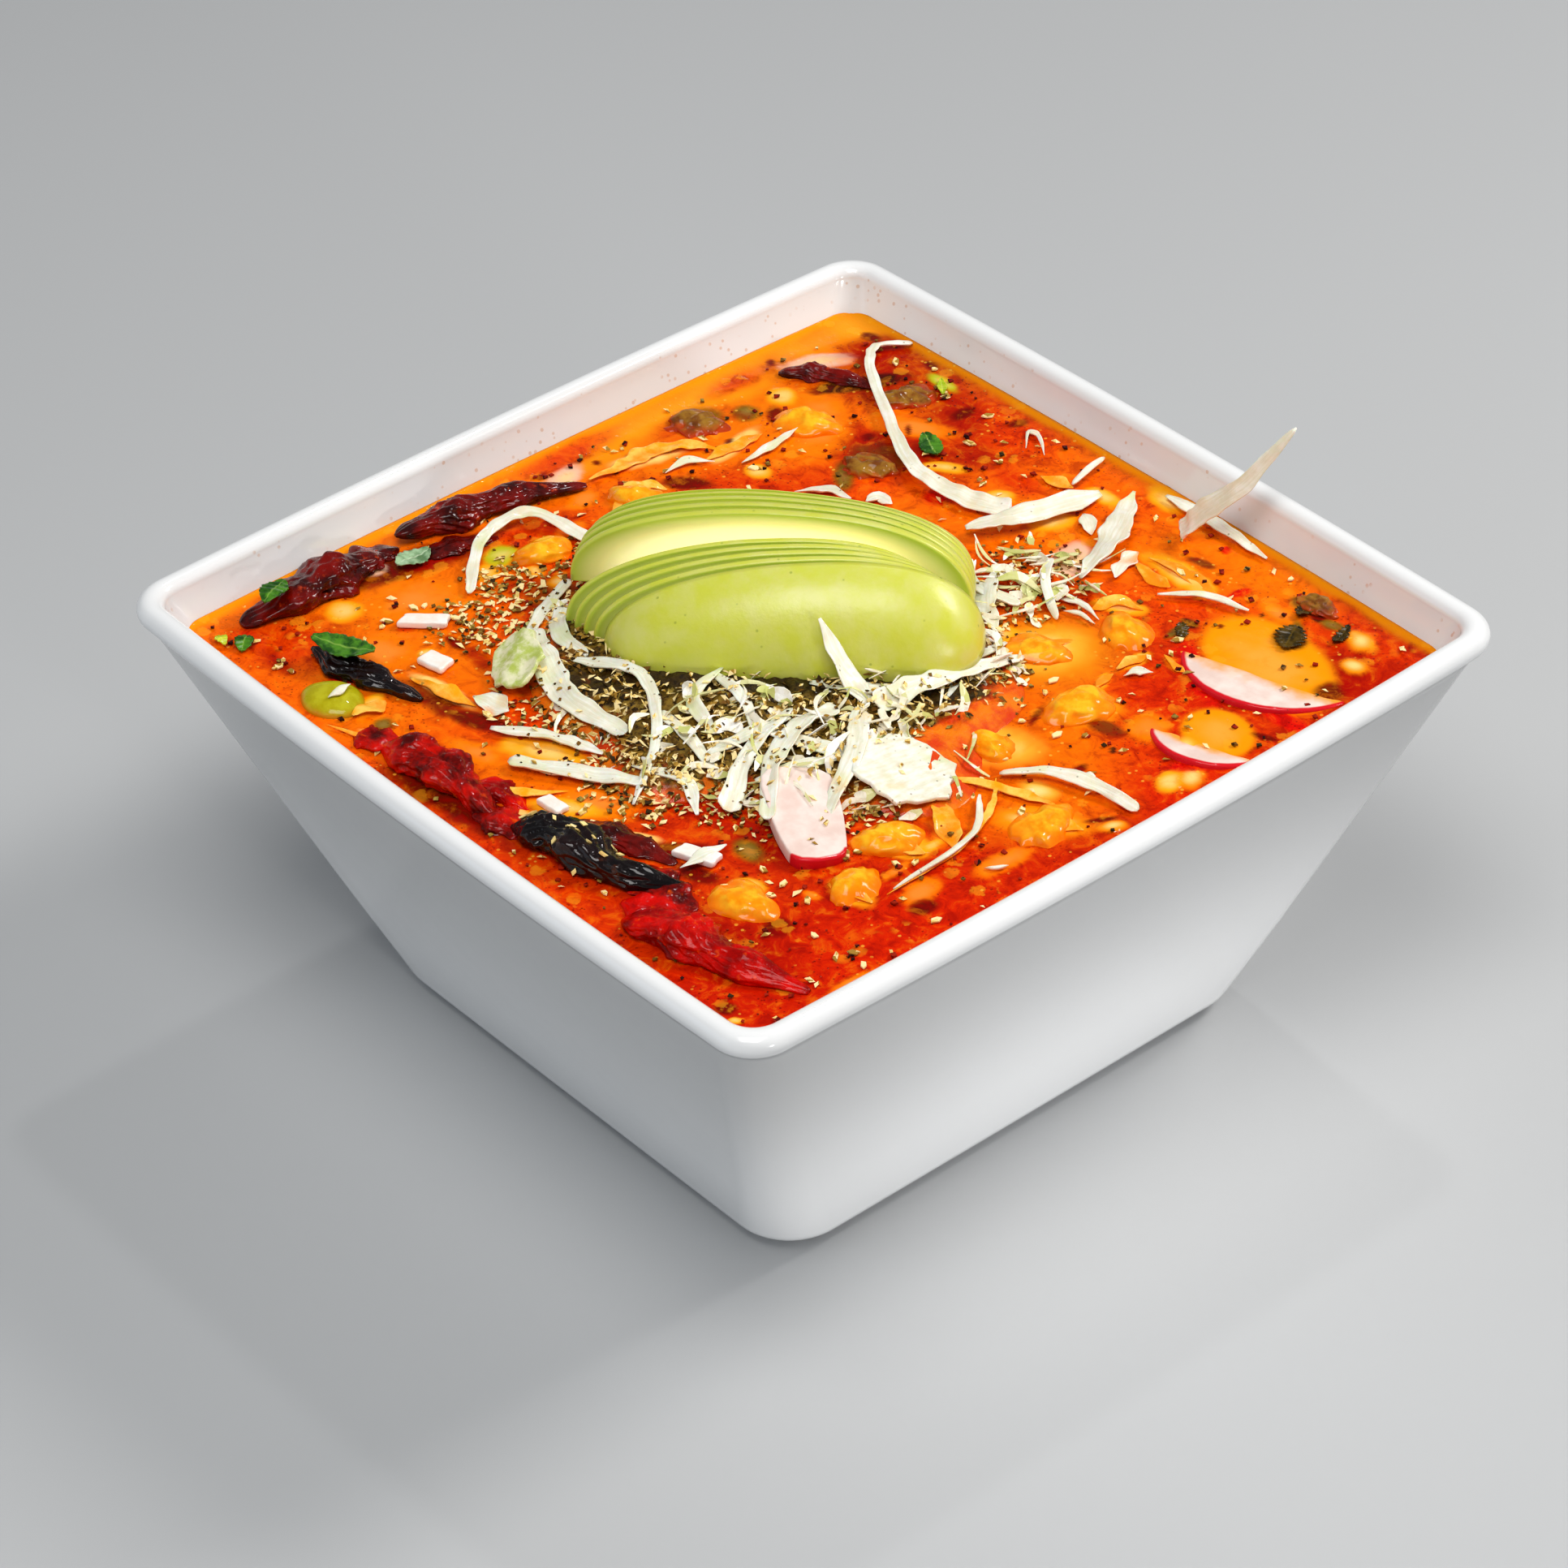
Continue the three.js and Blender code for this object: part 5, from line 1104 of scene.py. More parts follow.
# %% Bits of onion
onion = Finish("onion", IOR=1.4, Coat_Weight=0.3, Coat_Roughness=0.08)
clear = onion.mix(onion.patches(3, 3, 0.3, 0.7), (255, 250, 244), (250, 234, 220))
onion.feed(Base_Color=clear, Roughness=onion.noise(3, 2) * 0.2 + 0.2)
onion.bump(onion.noise(1.5, 3), 0.2, 0.5)
# place, half length, half width, turn
ONIONS = [(-59, -53, 5.6, 2.2, 0.9), (-46, -60, 3.6, 2.8, 0.4), (39.5, -62, 5, 2.3, 0.5), (8, -72.5, 3.4, 2, 0.2)]
for i, (x, y, rx, ry, turn) in enumerate(ONIONS):
    outline = softened(crisp([(rx, ry * 0.6), (-rx * 0.7, ry), (-rx, -ry * 0.5), (rx * 0.8, -ry)], 4))
    rings = rounded_plate(outline, 1.5, (1.8, 1.0, 0.6), 0, 0, turn, (x, y, ON))[0]
    dress(f"onion_bit_{i + 1}", *loft(rings), onion, "onion", [f"onion_{i + 1}"])
print("bits of onion:", len(ONIONS))

# %% [markdown]
# ## Herb leaves
# The leaves are thin and cupped, with a pale rib along the middle. A leaf is a loft of thin rows, bent by
# two waves, and its rib is a band in the mark `across`, which is 0 at the middle and 1 at the edges.

# %% Leaves
def herb_finish(name, low, high, vein):
    finish = Finish(name, IOR=1.42, Specular_IOR_Level=0.15, Coat_Weight=0.3, Coat_Roughness=0.08)
    rib = finish.fade(finish.own("across"), 0.12, 0.03)
    green = finish.mix(finish.patches(2.5, 3, 0.35, 0.65), low, high)
    finish.feed(Base_Color=finish.mix(rib * 0.5, green, vein), Roughness=finish.noise(2, 2) * 0.2 + 0.2)
    finish.bump(finish.noise(1.1, 3), 0.2, 0.6)
    return finish


herbs = {
    "green": herb_finish("herb_leaf", (24, 70, 12), (78, 136, 30), (150, 186, 80)),
    "mint": herb_finish("pale_leaf", (92, 128, 84), (168, 200, 156), (220, 236, 200)),
    "wilted": herb_finish("wilted_leaf", (36, 28, 4), (84, 62, 8), (110, 84, 16)),
    "lime": herb_finish("lime_peel", (150, 180, 16), (206, 214, 50), (230, 232, 120)),
}
LEAF_ROWS, LEAF_PARTS, LEAF_NODES = 24, 6, 5
LEAVES = [  # middle, length, width, turn, kind: the first five stand for nodes
    ((-82.5, -73.2, 93.7), 9, 5.5, 0.5, "green"), ((-78.6, -40.8, FLOAT + 0.9), 9, 6, 0.1, "mint"),
    ((-58, -73.8, 93), 14, 7, -1.1, "green"), ((-37, 66.5, FLOAT + 0.9), 8, 5, 1.2, "green"),
    ((65.5, 72.5, FLOAT + 0.9), 7, 5.5, 0.4, "wilted"), ((-78, -84.5, FLOAT + 0.6), 5, 4, 0.7, "green"),
    ((-82, -87.5, FLOAT + 0.6), 4, 2.6, 1.4, "lime"), ((-53, 84, FLOAT + 0.4), 7, 2.2, 0.9, "lime"),
    ((60, 82, FLOAT + 0.4), 6, 3, 0.3, "wilted"), ((71.5, 81, FLOAT + 0.4), 6, 2.4, 0.2, "wilted"),
    ((48.5, 58.5, FLOAT + 0.4), 4, 2.4, 0.9, "wilted"),
]
for i, ((x, y, z), length, width, turn, kind) in enumerate(LEAVES):
    rings, across = [], []
    ragged = 0.35 if kind == "wilted" else 0.07
    sides = [k / LEAF_PARTS - 1 for k in range(2 * LEAF_PARTS + 1)]
    cosine, sine = math.cos(turn), math.sin(turn)
    for row in range(LEAF_ROWS + 1):
        t = row / LEAF_ROWS
        half = width / 2 * max(math.sin(math.pi * min(t * 0.92 + 0.04, 1)) ** 0.8, 0.08)
        half *= 1 + ragged * math.sin(row * 2.1)
        rise = 0.5 * math.sin(t * 5 + i)
        ring = []
        for lift, order in ((0.3, sides), (-0.3, sides[::-1])):
            for s in order:
                px, py, out = s * half, (t - 0.5) * length, abs(s)
                pz = rise + 0.35 * out + lift * (1 - 0.6 * out) + 0.12 * math.sin(row * 1.3 + out * 3)
                ring.append((x + px * cosine - py * sine, y + px * sine + py * cosine, z + pz))
                across.append(out)
        rings.append(ring)
    stands_for = [f"leaf_{i + 1}"] if i < LEAF_NODES else ()
    dress(f"herb_leaf_{i + 1}", *loft(rings), herbs[kind], "herb_leaf", stands_for, across=across + [0, 0])
print("leaves:", len(LEAVES))

# %% [markdown]
# ## Small things that float
# Between the big pieces the broth carries soaked strips of cabbage that have taken its colour, white
# ends and a few cream flecks. They are the same ribbons, thinner, and lie at the level of the broth.

# %% Soaked strips and flecks
STRIP_SEED = 70
soaked_strip = soft_finish("soaked_strip", (255, 168, 18), (255, 208, 92), (252, 136, 5), 1.4, 0.1)
STRIPS = [  # kind, plan points, widths at the ends and the middle, height above the broth
    ("white", [(3.7, 73.0), (7.1, 71.3), (10.4, 69.1)], (3, 3.8, 2.4), 0),
    ("white", [(25.6, 61.5), (22.6, 66.9), (21.6, 71.9)], (3, 4.6, 2.5), 0),
    ("amber", [(24.7, 71.8), (32.9, 74.1), (43.9, 73.0)], (2, 4.4, 2), 0),
    ("amber", [(23.6, 68.9), (30.7, 67.7), (35.5, 67.7)], (2, 3, 2), 0),
    ("white", [(23.0, 47.9), (27.3, 49.9), (34.8, 48.3)], (1.5, 1.9, 1), 0.4),
    ("white", [(26.7, 45.9), (30.0, 47.3), (34.9, 47.1)], (1.2, 1.6, 1), 0.2),
    ("amber", [(30.0, 50.7), (32.0, 55.9), (37.4, 58.3)], (2, 3.6, 1.5), 0),
    ("amber", [(49.0, 39.8), (49.0, 44.4), (49.5, 48.6)], (2, 2.8, 1.4), 0),
    ("amber", [(51.1, 32.2), (50.0, 35.6), (49.4, 38.6)], (1.4, 2.2, 1.2), 0),
    ("amber", [(51.8, 50.3), (55.8, 49.6), (59.2, 49.2)], (1.4, 2.4, 1), 0),
    ("white", [(51.8, 39.1), (52.7, 42.2), (55.4, 43.9)], (1, 2.8, 0.8), 0.2),
    ("white", [(69.6, 9.8), (71.8, 10.6), (74.0, 11.1)], (0.8, 2, 0.8), 0),
    ("amber", [(51.6, -11.2), (59.4, -6.0), (67.5, -2.3), (74.6, 0.0)], (1.6, 1.9, 2), 0.4),
    ("amber", [(60.0, -2.9), (66.0, -9.3), (71.6, -23.4), (73.3, -43.0)], (1.2, 1.7, 0.8), 0.4),
    ("amber", [(56.9, -16.1), (63.4, -19.0), (71.1, -23.6)], (2, 6, 2), 0),
    ("white", [(-22.3, 80.5), (-27.0, 85.8), (-24.4, 86.2), (-17.5, 81.5)], (1, 1.6, 1), 0.4),
    ("amber", [(-13.1, 76.0), (-9.3, 76.9), (-4.6, 77.8)], (1.5, 3.2, 1.5), 0.3),
    ("white", [(-59.9, 32.9), (-60.2, 41.4), (-61.8, 51.2)], (1, 2, 0.8), 0.4),
    ("white", [(-68.2, 18.5), (-68.3, 24.4), (-64.2, 29.1)], (1, 2.2, 1), 0.2),
    ("amber", [(-66.3, 27.9), (-66.2, 36.2), (-66.3, 44.1)], (2, 3.6, 2), 0),
    ("amber", [(-76.9, 4.8), (-76.6, 13.3), (-76.6, 21.2), (-73.5, 28.7), (-66.5, 33.0)], (2, 5, 2), 0.3),
    ("white", [(-43.0, 33.3), (-40.2, 39.0), (-33.2, 40.6)], (2, 4, 2), 0.6),
    ("white", [(-30.4, 42.3), (-30.2, 45.6), (-25.7, 45.5)], (2, 3, 1.5), 0.4),
    ("amber", [(-63.0, -0.2), (-67.9, 8.5), (-66.2, 12.6), (-62.9, 14.8)], (2, 4.4, 2), 0.5),
    ("white", [(-48.8, -84.7), (-48.8, -81.9), (-49.0, -78.9)], (1.4, 1.8, 1.4), 2.4),
    ("amber", [(-45.8, -66.6), (-37.3, -64.8), (-29.0, -62.8)], (1.5, 3.8, 1.5), 0.1),
    ("amber", [(-42.8, -83.3), (-42.7, -79.2), (-42.4, -75.2)], (4, 5.5, 4), 0.3),
    ("amber", [(-43.6, -88.8), (-35.7, -85.4), (-28.1, -82.0), (-19.1, -76.6)], (0.8, 1.6, 0.8), 0.1),
    ("white", [(-31.1, -61.8), (-26.7, -60.7), (-22.1, -59.7)], (4, 5.6, 3), 0.5),
    ("white", [(40.8, -67.2), (41.0, -61.7), (41.7, -56.3)], (2.4, 3, 2), 1),
    ("white", [(79.2, -23.5), (81.2, -22.0), (82.2, -19.8)], (0.7, 1, 0.6), 0),
    ("amber", [(-8.4, -77.9), (0.1, -74.5), (6.0, -67.0)], (1.2, 2, 1), 0.2),
    ("amber", [(6.9, -76.8), (16.5, -73.3), (26.7, -65.4)], (1, 1.6, 1), 0.2),
    ("white", [(-9.4, -69.1), (0.3, -64.5), (4.3, -59.4)], (1.6, 2.6, 1.4), 0.2),
    ("amber", [(11.5, 90.2), (15.2, 91.4), (19.6, 89.9)], (2, 3.4, 2), 0.1),
    ("amber", [(73.1, -5.7), (78.1, -3.9), (83.7, -1.6)], (3, 4.4, 2.4), 0),
    ("amber", [(57.2, -32.6), (62.7, -31.2), (68.4, -28.9)], (3.4, 4.4, 2.4), 0),
    ("amber", [(62.6, -48.6), (67.6, -47.2), (72.9, -46.3)], (3, 4, 2.4), 0),
    ("amber", [(50.7, 8.3), (51.5, 4.4), (50.4, -0.0)], (2, 3.4, 2), 0),
    ("amber", [(26.7, 33.6), (32.7, 35.9), (35.4, 40.5)], (2.4, 4, 2), 0),
    ("white", [(-35.2, -36.3), (-39.0, -34.5), (-43.3, -32.3)], (1.2, 1.8, 0.6), 0.3),
    ("white", [(-36.7, -44.5), (-39.0, -40.6), (-42.6, -36.0)], (1.8, 2.4, 0.8), 0.6),
]
for i, (kind, plan, widths, lift) in enumerate(STRIPS):
    if kind == "amber":
        widths, lift = (widths[0] * 1.4, widths[1] * 0.9, widths[2] * 1.4), lift - 0.25
    points = [(x, y, FLOAT + 0.35 + lift + 0.3 * math.sin(k * 2 + i)) for k, (x, y) in enumerate(plan)]
    finish = cabbage if kind == "white" else soaked_strip
    add_ribbon(f"floating_strip_{i + 1}", finish, (), points, widths, 0.9, (0, 0.2), STRIP_SEED + i, torn=True)
print("strips:", len(STRIPS))

# %% [markdown]
# ## Dried oregano, seeds and crumbs
# Thousands of flakes repeat one small shape, so they are grown by Geometry Nodes: points are strewn over
# a ground, a flake is set on each with its own turn, tilt and size, and the instances are made real at
# the end so that the result is a plain mesh. The ground is the mound, the shreds or the broth, and a
# mark on it named `thick` says where the flakes lie close together.

# %% A tree that strews pieces over a ground
def strewing_tree(name):
    tree = bpy.data.node_groups.new(name, "GeometryNodeTree")
    for label, kind in (
        ("Ground", "NodeSocketGeometry"), ("Piece", "NodeSocketObject"), ("Per square metre", "NodeSocketFloat"),
        ("Smallest", "NodeSocketFloat"), ("Largest", "NodeSocketFloat"), ("Lean", "NodeSocketFloat"),
        ("Lift", "NodeSocketFloat"), ("Seed", "NodeSocketInt"), ("Finish", "NodeSocketMaterial"),
    ):
        tree.interface.new_socket(label, in_out="INPUT", socket_type=kind)
    tree.interface.new_socket("Pieces", in_out="OUTPUT", socket_type="NodeSocketGeometry")
    sheet = Sheet(tree)
    given = tree.nodes.new("NodeGroupInput")
    wires = {socket.name: Wire(sheet, socket) for socket in given.outputs if socket.name}
    thick = sheet.add("GeometryNodeInputNamedAttribute", {"data_type": "FLOAT"}, {"Name": "thick"})
    up = sheet.add("ShaderNodeSeparateXYZ", {}, {0: sheet.add("GeometryNodeInputNormal", {}, {})}, out="Z")
    facing = sheet.add("ShaderNodeMath", {"operation": "GREATER_THAN"}, {0: up, 1: 0.25})
    strewn = sheet.nodes.new("GeometryNodeDistributePointsOnFaces")
    sheet.links.new(wires["Ground"].socket, strewn.inputs["Mesh"])
    sheet.links.new((wires["Per square metre"] * thick * facing).socket, strewn.inputs["Density"])
    sheet.links.new(wires["Seed"].socket, strewn.inputs["Seed"])
    lean = wires["Lean"]
    low = sheet.add("ShaderNodeCombineXYZ", {}, {0: lean * -1, 1: lean * -1, 2: 0.0})
    high = sheet.add("ShaderNodeCombineXYZ", {}, {0: lean, 1: lean, 2: 6.2832})
    spin = sheet.add("FunctionNodeRandomValue", {"data_type": "FLOAT_VECTOR"}, {
        0: low, 1: high, "Seed": wires["Seed"] + 1})
    turned = sheet.add("FunctionNodeRotateRotation", {"rotation_space": "LOCAL"}, {
        "Rotation": Wire(sheet, strewn.outputs["Rotation"]),
        "Rotate By": sheet.add("FunctionNodeEulerToRotation", {}, {0: spin}),
    })
    size = sheet.add("FunctionNodeRandomValue", {"data_type": "FLOAT"}, {
        2: wires["Smallest"], 3: wires["Largest"], "Seed": wires["Seed"] + 2}, out=1)
    shape = sheet.add("GeometryNodeObjectInfo", {}, {"Object": wires["Piece"]}, out="Geometry")
    set_on = sheet.add("GeometryNodeInstanceOnPoints", {}, {
        "Points": Wire(sheet, strewn.outputs["Points"]), "Instance": shape, "Rotation": turned, "Scale": size})
    rise = sheet.add("FunctionNodeRandomValue", {"data_type": "FLOAT"}, {
        2: 0.0, 3: wires["Lift"], "Seed": wires["Seed"] + 3}, out=1)
    lifted = sheet.add("GeometryNodeTranslateInstances", {}, {
        "Instances": set_on, "Translation": sheet.add("ShaderNodeCombineXYZ", {}, {2: rise}), "Local Space": False})
    real = sheet.add("GeometryNodeRealizeInstances", {}, {"Geometry": lifted})
    done = sheet.add("GeometryNodeSetMaterial", {}, {"Geometry": real, "Material": wires["Finish"]})
    sheet.links.new(done.socket, tree.nodes.new("NodeGroupOutput").inputs[0])
    return tree


strewing = strewing_tree("strewing")
print("inputs:", [item.name for item in strewing.interface.items_tree if item.in_out == "INPUT"])


# %% Grow pieces on a ground and keep them as a mesh
def strew(name, ground, piece, finish, count, low, high, lean, lift, seed, slot="cabbage"):
    """Grows `count` pieces for each square centimetre where the ground's mark `thick` is 1."""
    grower = ground.modifiers.new("strewing", "NODES")
    grower.node_group = strewing
    sizes = {"Piece": piece, "Per square metre": count * 1e4, "Smallest": low, "Largest": high, "Lean": lean,
             "Lift": lift * MM, "Seed": seed, "Finish": finish.material}
    for item in strewing.interface.items_tree:
        if item.in_out == "INPUT" and item.name in sizes:
            grower[item.identifier] = sizes[item.name]
    bpy.context.view_layer.update()
    grown = ground.evaluated_get(bpy.context.evaluated_depsgraph_get())
    mesh = bpy.data.meshes.new_from_object(grown)
    ground.modifiers.remove(grower)
    mesh.name = name
    settle(name, mesh, finish, smooth=False)
    print(name, "has", len(mesh.polygons), "faces")


def ground_of(name, points, faces, thick):
    return new_object(name, new_mesh(name, points, faces, {"thick": thick}))


def seedling(name, points, faces):
    return new_object(name, new_mesh(name, points, faces, {}))


def flake_shape(long, wide, thick, bend):
    top = [(-long, 0, thick), (-long * 0.2, wide, thick + bend)]
    top += [(long, wide * 0.3, thick), (long * 0.3, -wide, thick + bend * 0.6)]
    under = [(x * 0.9, y * 0.9, z - thick) for x, y, z in top]
    sides = [(k, (k + 1) % 4, (k + 1) % 4 + 4, k + 4) for k in range(4)]
    return top + under, [(3, 2, 1, 0), (4, 5, 6, 7), *sides]


flake = seedling("flake", *flake_shape(1.15, 0.55, 0.12, 0.3))
crumb = seedling("crumb", *flake_shape(0.45, 0.38, 0.2, 0.1))
stalk = seedling("stalk", *flake_shape(1.9, 0.2, 0.16, 0.1))
CURLS = [  # route, widths at the ends and the middle, pieces for each cm2 on the heap and beside the avocado
    ([(-4, 0, 0), (-1, 1.6, 0.8), (3, 0.6, 0.3)], (0.7, 1.5, 0.6), 3.0, 2.6),
    ([(-5, -1, 0), (-1, 0.6, 1), (2, 0.2, 1.1), (6, -1.6, 0)], (0.6, 1.2, 0.7), 2.6, 2.2),
    ([(-2.5, 0, 0), (0, 0.7, 0.5), (2, -0.2, 0.2)], (1.6, 2.8, 1.4), 2.0, 2.0),
    ([(-2, 0, 0), (0, 0.2, 0.2), (2.4, 0, 0.5)], (2.4, 3, 2.6), 2.0, 2.4),
]
curls = []
for k, (points, widths, on_heap, by_fruit) in enumerate(CURLS):
    rings = ribbon(points, widths, 0.5, (0, 0.6), k, sides=6)[0]
    curls.append((seedling(f"curl_{k + 1}", *loft(rings)), on_heap, by_fruit))
print("a flake is", round(flake.dimensions.x / MM, 1), "mm long")


# %% Where the oregano lies
def on_sheet(x, y):
    """The big white leaf on the heap stays nearly bare."""
    return smooth(math.hypot(x - 49, y + 17), 7, 11)


def thick_at(x, y):
    """How thickly the oregano lies, from 0 to 1: over the heap's open front and on the broth beside it."""
    near = smooth(heap_place(x, y)[0], 1.28, 0.88)
    left = smooth(math.hypot((x + 49) / 20, (y + 28) / 29), 1.15, 0.5)
    patches = 0.55 + 0.45 * hum(x, y, 6, 5) + 0.35 * hum(x, y, 2.2, 8)
    return min(1, max(0, max(near, left * 0.95) * patches * 1.3)) * heaped(x, y) * on_sheet(x, y)


def on_mound(x, y):
    return thick_at(x, y) * (1 - 0.6 * painted_shadow_under_fruit(x, y))


def off_heap(x, y):
    return heap_place(x, y)[0] > 0.97


def on_broth(x, y):
    return (thick_at(x, y) + 0.012) * off_heap(x, y)


def thinly(x, y):
    return 0.5 + 0.5 * hum(x, y, 12, 3) if off_heap(x, y) else 0


def on_shreds(x, y):
    return max(1.3 - on_sheet(x, y), 0.5 + 0.8 * hum(x, y, 4, 2))


def curl_share(x, y):
    """Fine shreds: many on the right of the heap and beside the avocado's thick end, few on its left."""
    near = smooth(heap_place(x, y)[0], 1.05, 0.85)
    share = (0.3 + (x + y * 0.6 + 10) / 60) * near + 0.5 * hum(x, y, 5, 6) * near
    return max(0, min(1, share)) * heaped(x, y) * on_sheet(x, y) * (1 - 0.85 * painted_shadow_under_fruit(x, y))


def beside(x, y):
    """The loose litter to the right of the avocado, which thins out over the broth."""
    away = math.hypot((x - 14) / 17, (y - 47) / 15) + 0.25 * hum(x, y, 5, 12)
    return smooth(away, 1.1, 0.5)


def along_black_chilli(x, y):
    return max(0, 1 - abs(x - 26) / 22)


LAWN_SIDE = 120
steps = [mix_up(-88, 88, i / LAWN_SIDE) for i in range(LAWN_SIDE + 1)]
lawn = [(x, y, FLOAT - 0.1) for x in steps for y in steps]
row = LAWN_SIDE + 1
corners = [i * row + j for i in range(LAWN_SIDE) for j in range(LAWN_SIDE)]
lawn_faces = [(k, k + row, k + row + 1, k + 1) for k in corners]
wedge_points, wedge_faces = gather([(shred_points, shred_faces), (slice_points, slice_faces)])
black_points, black_faces = loft(chilli_rings(*CHILLIES[4][2:]))
grounds = {name: ground_of(name + "_ground", points, faces, spread(mark, points)) for name, points, faces, mark in (
    ("heap", mound_points, mound_faces, on_mound), ("broth", lawn, lawn_faces, on_broth),
    ("thin", lawn, lawn_faces, thinly), ("shred", wedge_points, wedge_faces, on_shreds),
    ("side", lawn, lawn_faces, beside), ("seed", black_points, black_faces, along_black_chilli),
    ("curl", mound_points, mound_faces, curl_share),
)}
seed = seedling("seed", *flake_shape(0.75, 0.5, 0.25, 0.0))
seed_finish = soft_finish("chilli_seed", (226, 190, 110), (250, 226, 150), (226, 190, 110), gloss=0.3)
curl_finish = Finish(
    "fine_shreds", IOR=1.4, Specular_IOR_Level=0.3, Roughness=0.4, Coat_Weight=0.2, Coat_Roughness=0.1)
chance = curl_finish.pick(3.1)
curl_tone = curl_finish.mix(curl_finish.fade(chance, 0.3, 0.34), (226, 222, 158), (250, 242, 220))
curl_tone = curl_finish.mix(curl_finish.fade(chance, 0.62, 0.66), curl_tone, (255, 252, 244))
curl_tone = curl_finish.mix(curl_finish.fade(chance, 0.84, 0.86), curl_tone, (204, 206, 120))
curl_finish.feed(Base_Color=curl_finish.mix(curl_finish.patches(1.6, 3, 0.45, 0.7) * 0.4, curl_tone, (214, 196, 140)))
curl_finish.bump(curl_finish.noise(1.4, 3), 0.3, 0.6)
print("grounds:", list(grounds))


# %% Strew the oregano, crumbs and seeds
def dry_finish(name, dim, pale, third, fourth):
    """A quarter of the flakes lie between the first two tones, a quarter take the third, half the fourth."""
    finish = Finish(name, IOR=1.45, Specular_IOR_Level=0.12)
    chance = finish.pick(1.3)
    tone = finish.mix(finish.patches(0.5, 2, 0.3, 0.7), dim, pale)
    tone = finish.mix(finish.fade(chance, 0.72, 0.74), tone, third)
    tone = finish.mix(finish.fade(chance, 0.5, 0.52), fourth, tone)
    finish.feed(Base_Color=tone, Roughness=finish.noise(1, 2) * 0.3 + 0.45)
    finish.bump(finish.noise(0.3, 2), 0.1, 0.5)
    return finish


pale_herb = dry_finish("pale_oregano", (220, 180, 88), (246, 218, 142), (166, 124, 46), (253, 228, 164))
dark_herb = dry_finish("dark_oregano", (128, 104, 36), (168, 142, 66), (50, 34, 12), (116, 78, 24))
chilli_crumb = dry_finish("chilli_crumb", (84, 8, 5), (130, 18, 6), (40, 8, 6), (150, 30, 8))
STREWN = [  # name, ground, piece, finish, pieces for each cm2, smallest, largest, lean, lift, seed
    ("oregano_pale_flakes", "heap", flake, pale_herb, 34, 0.6, 1.25, 0.5, 1.0, 1),
    ("oregano_dark_flakes", "heap", flake, dark_herb, 34, 0.5, 1.15, 0.6, 0.8, 2),
    ("oregano_stalks", "heap", stalk, pale_herb, 8, 0.6, 1.2, 0.3, 1.2, 3),
    ("oregano_pale_on_broth", "broth", flake, pale_herb, 46, 0.6, 1.2, 0.25, 0.3, 4),
    ("oregano_dark_on_broth", "broth", crumb, dark_herb, 34, 0.8, 1.9, 0.25, 0.2, 5),
    ("crumbs_of_chilli", "thin", crumb, chilli_crumb, 3, 0.5, 1.9, 0.2, 0.05, 6, "dark_chilli"),
    ("specks_on_shreds", "shred", crumb, dark_herb, 11, 0.5, 1.4, 0.3, 0.0, 7),
    ("flakes_on_shreds", "shred", flake, pale_herb, 8, 0.6, 1.0, 0.3, 0.2, 8),
]
for k, (curl, on_heap, by_fruit) in enumerate(curls):
    STREWN += [
        (f"fine_shreds_{k + 1}", "curl", curl, curl_finish, on_heap, 0.6, 1.5, 0.5, 1.8, 10 + k),
        (f"shreds_beside_{k + 1}", "side", curl, curl_finish, by_fruit, 0.7, 1.5, 0.35, 0.8, 20 + k),
    ]
STREWN += [
    ("oregano_over_shreds", "curl", flake, pale_herb, 20, 0.5, 1.0, 0.5, 2.4, 30),
    ("oregano_beside", "side", flake, pale_herb, 16, 0.5, 1.0, 0.3, 0.9, 31),
    ("dark_oregano_beside", "side", crumb, dark_herb, 16, 0.6, 1.5, 0.3, 0.7, 32),
    ("chilli_seeds", "seed", seed, seed_finish, 6, 0.9, 1.7, 0.2, 0.0, 33, "onion"),
]
for name, ground, *how in STREWN:
    strew(name, grounds[ground], *how)
for helper in (*grounds.values(), flake, crumb, stalk, seed, *(curl for curl, on_heap, by_fruit in curls)):
    bpy.data.objects.remove(helper)

# %% Cream flecks on the broth
FLECKS = [
    (51, -55), (57, -55), (58, -59), (64, -55), (50, -64), (67, -35), (69, -32), (82, -59), (86, -60), (85, -41),
    (73, -61), (58, -13), (59, -38), (58, -40), (-46, -58), (-65, -51), (-64, -49), (-56, -47), (45, 24), (43, 28),
    (43, 18), (44, 15), (49, 14), (49, 23), (61, 20), (56, 29), (57, 33), (50, 56), (36, 53), (57, 16), (26, 42),
    (71, -6), (56, 3), (33, 73), (50, 88), (-33, 74), (-23, 74), (-38, 84), (-39, 54), (-41, 50), (-34, 59),
    (-68, 84), (-60, 88), (-51, 83), (-21, 66), (-57, 34), (43, -77), (46, -76), (36, -82), (13, -69), (20, -66),
    (9, -75), (9, -79), (-25, -63), (-64, -60), (-65, -58), (-68, -82), (-67, -84), (-64, -83), (-81, -21),
    (-71, -10),
]
parts = []
for i, (x, y) in enumerate(FLECKS):
    size = 1 + 0.35 * math.sin(i * 3.1)
    outline = [(1.1 * size, 0.3), (-0.3, 0.7 * size), (-1.2 * size, 0.2), (-0.5 * size, -0.5), (0.6 * size, -0.6)]
    lie = (0.1 * math.sin(i), 0.1, i * 1.9, (x, y, FLOAT + 0.15))
    parts.append(loft(rounded_plate(crisp(outline, 1), 0.5, (0.5, 0.25), *lie)[0]))
dress("cream_flecks", *gather(parts), pale_herb, "cabbage", smooth=False)
print("flecks:", len(FLECKS))

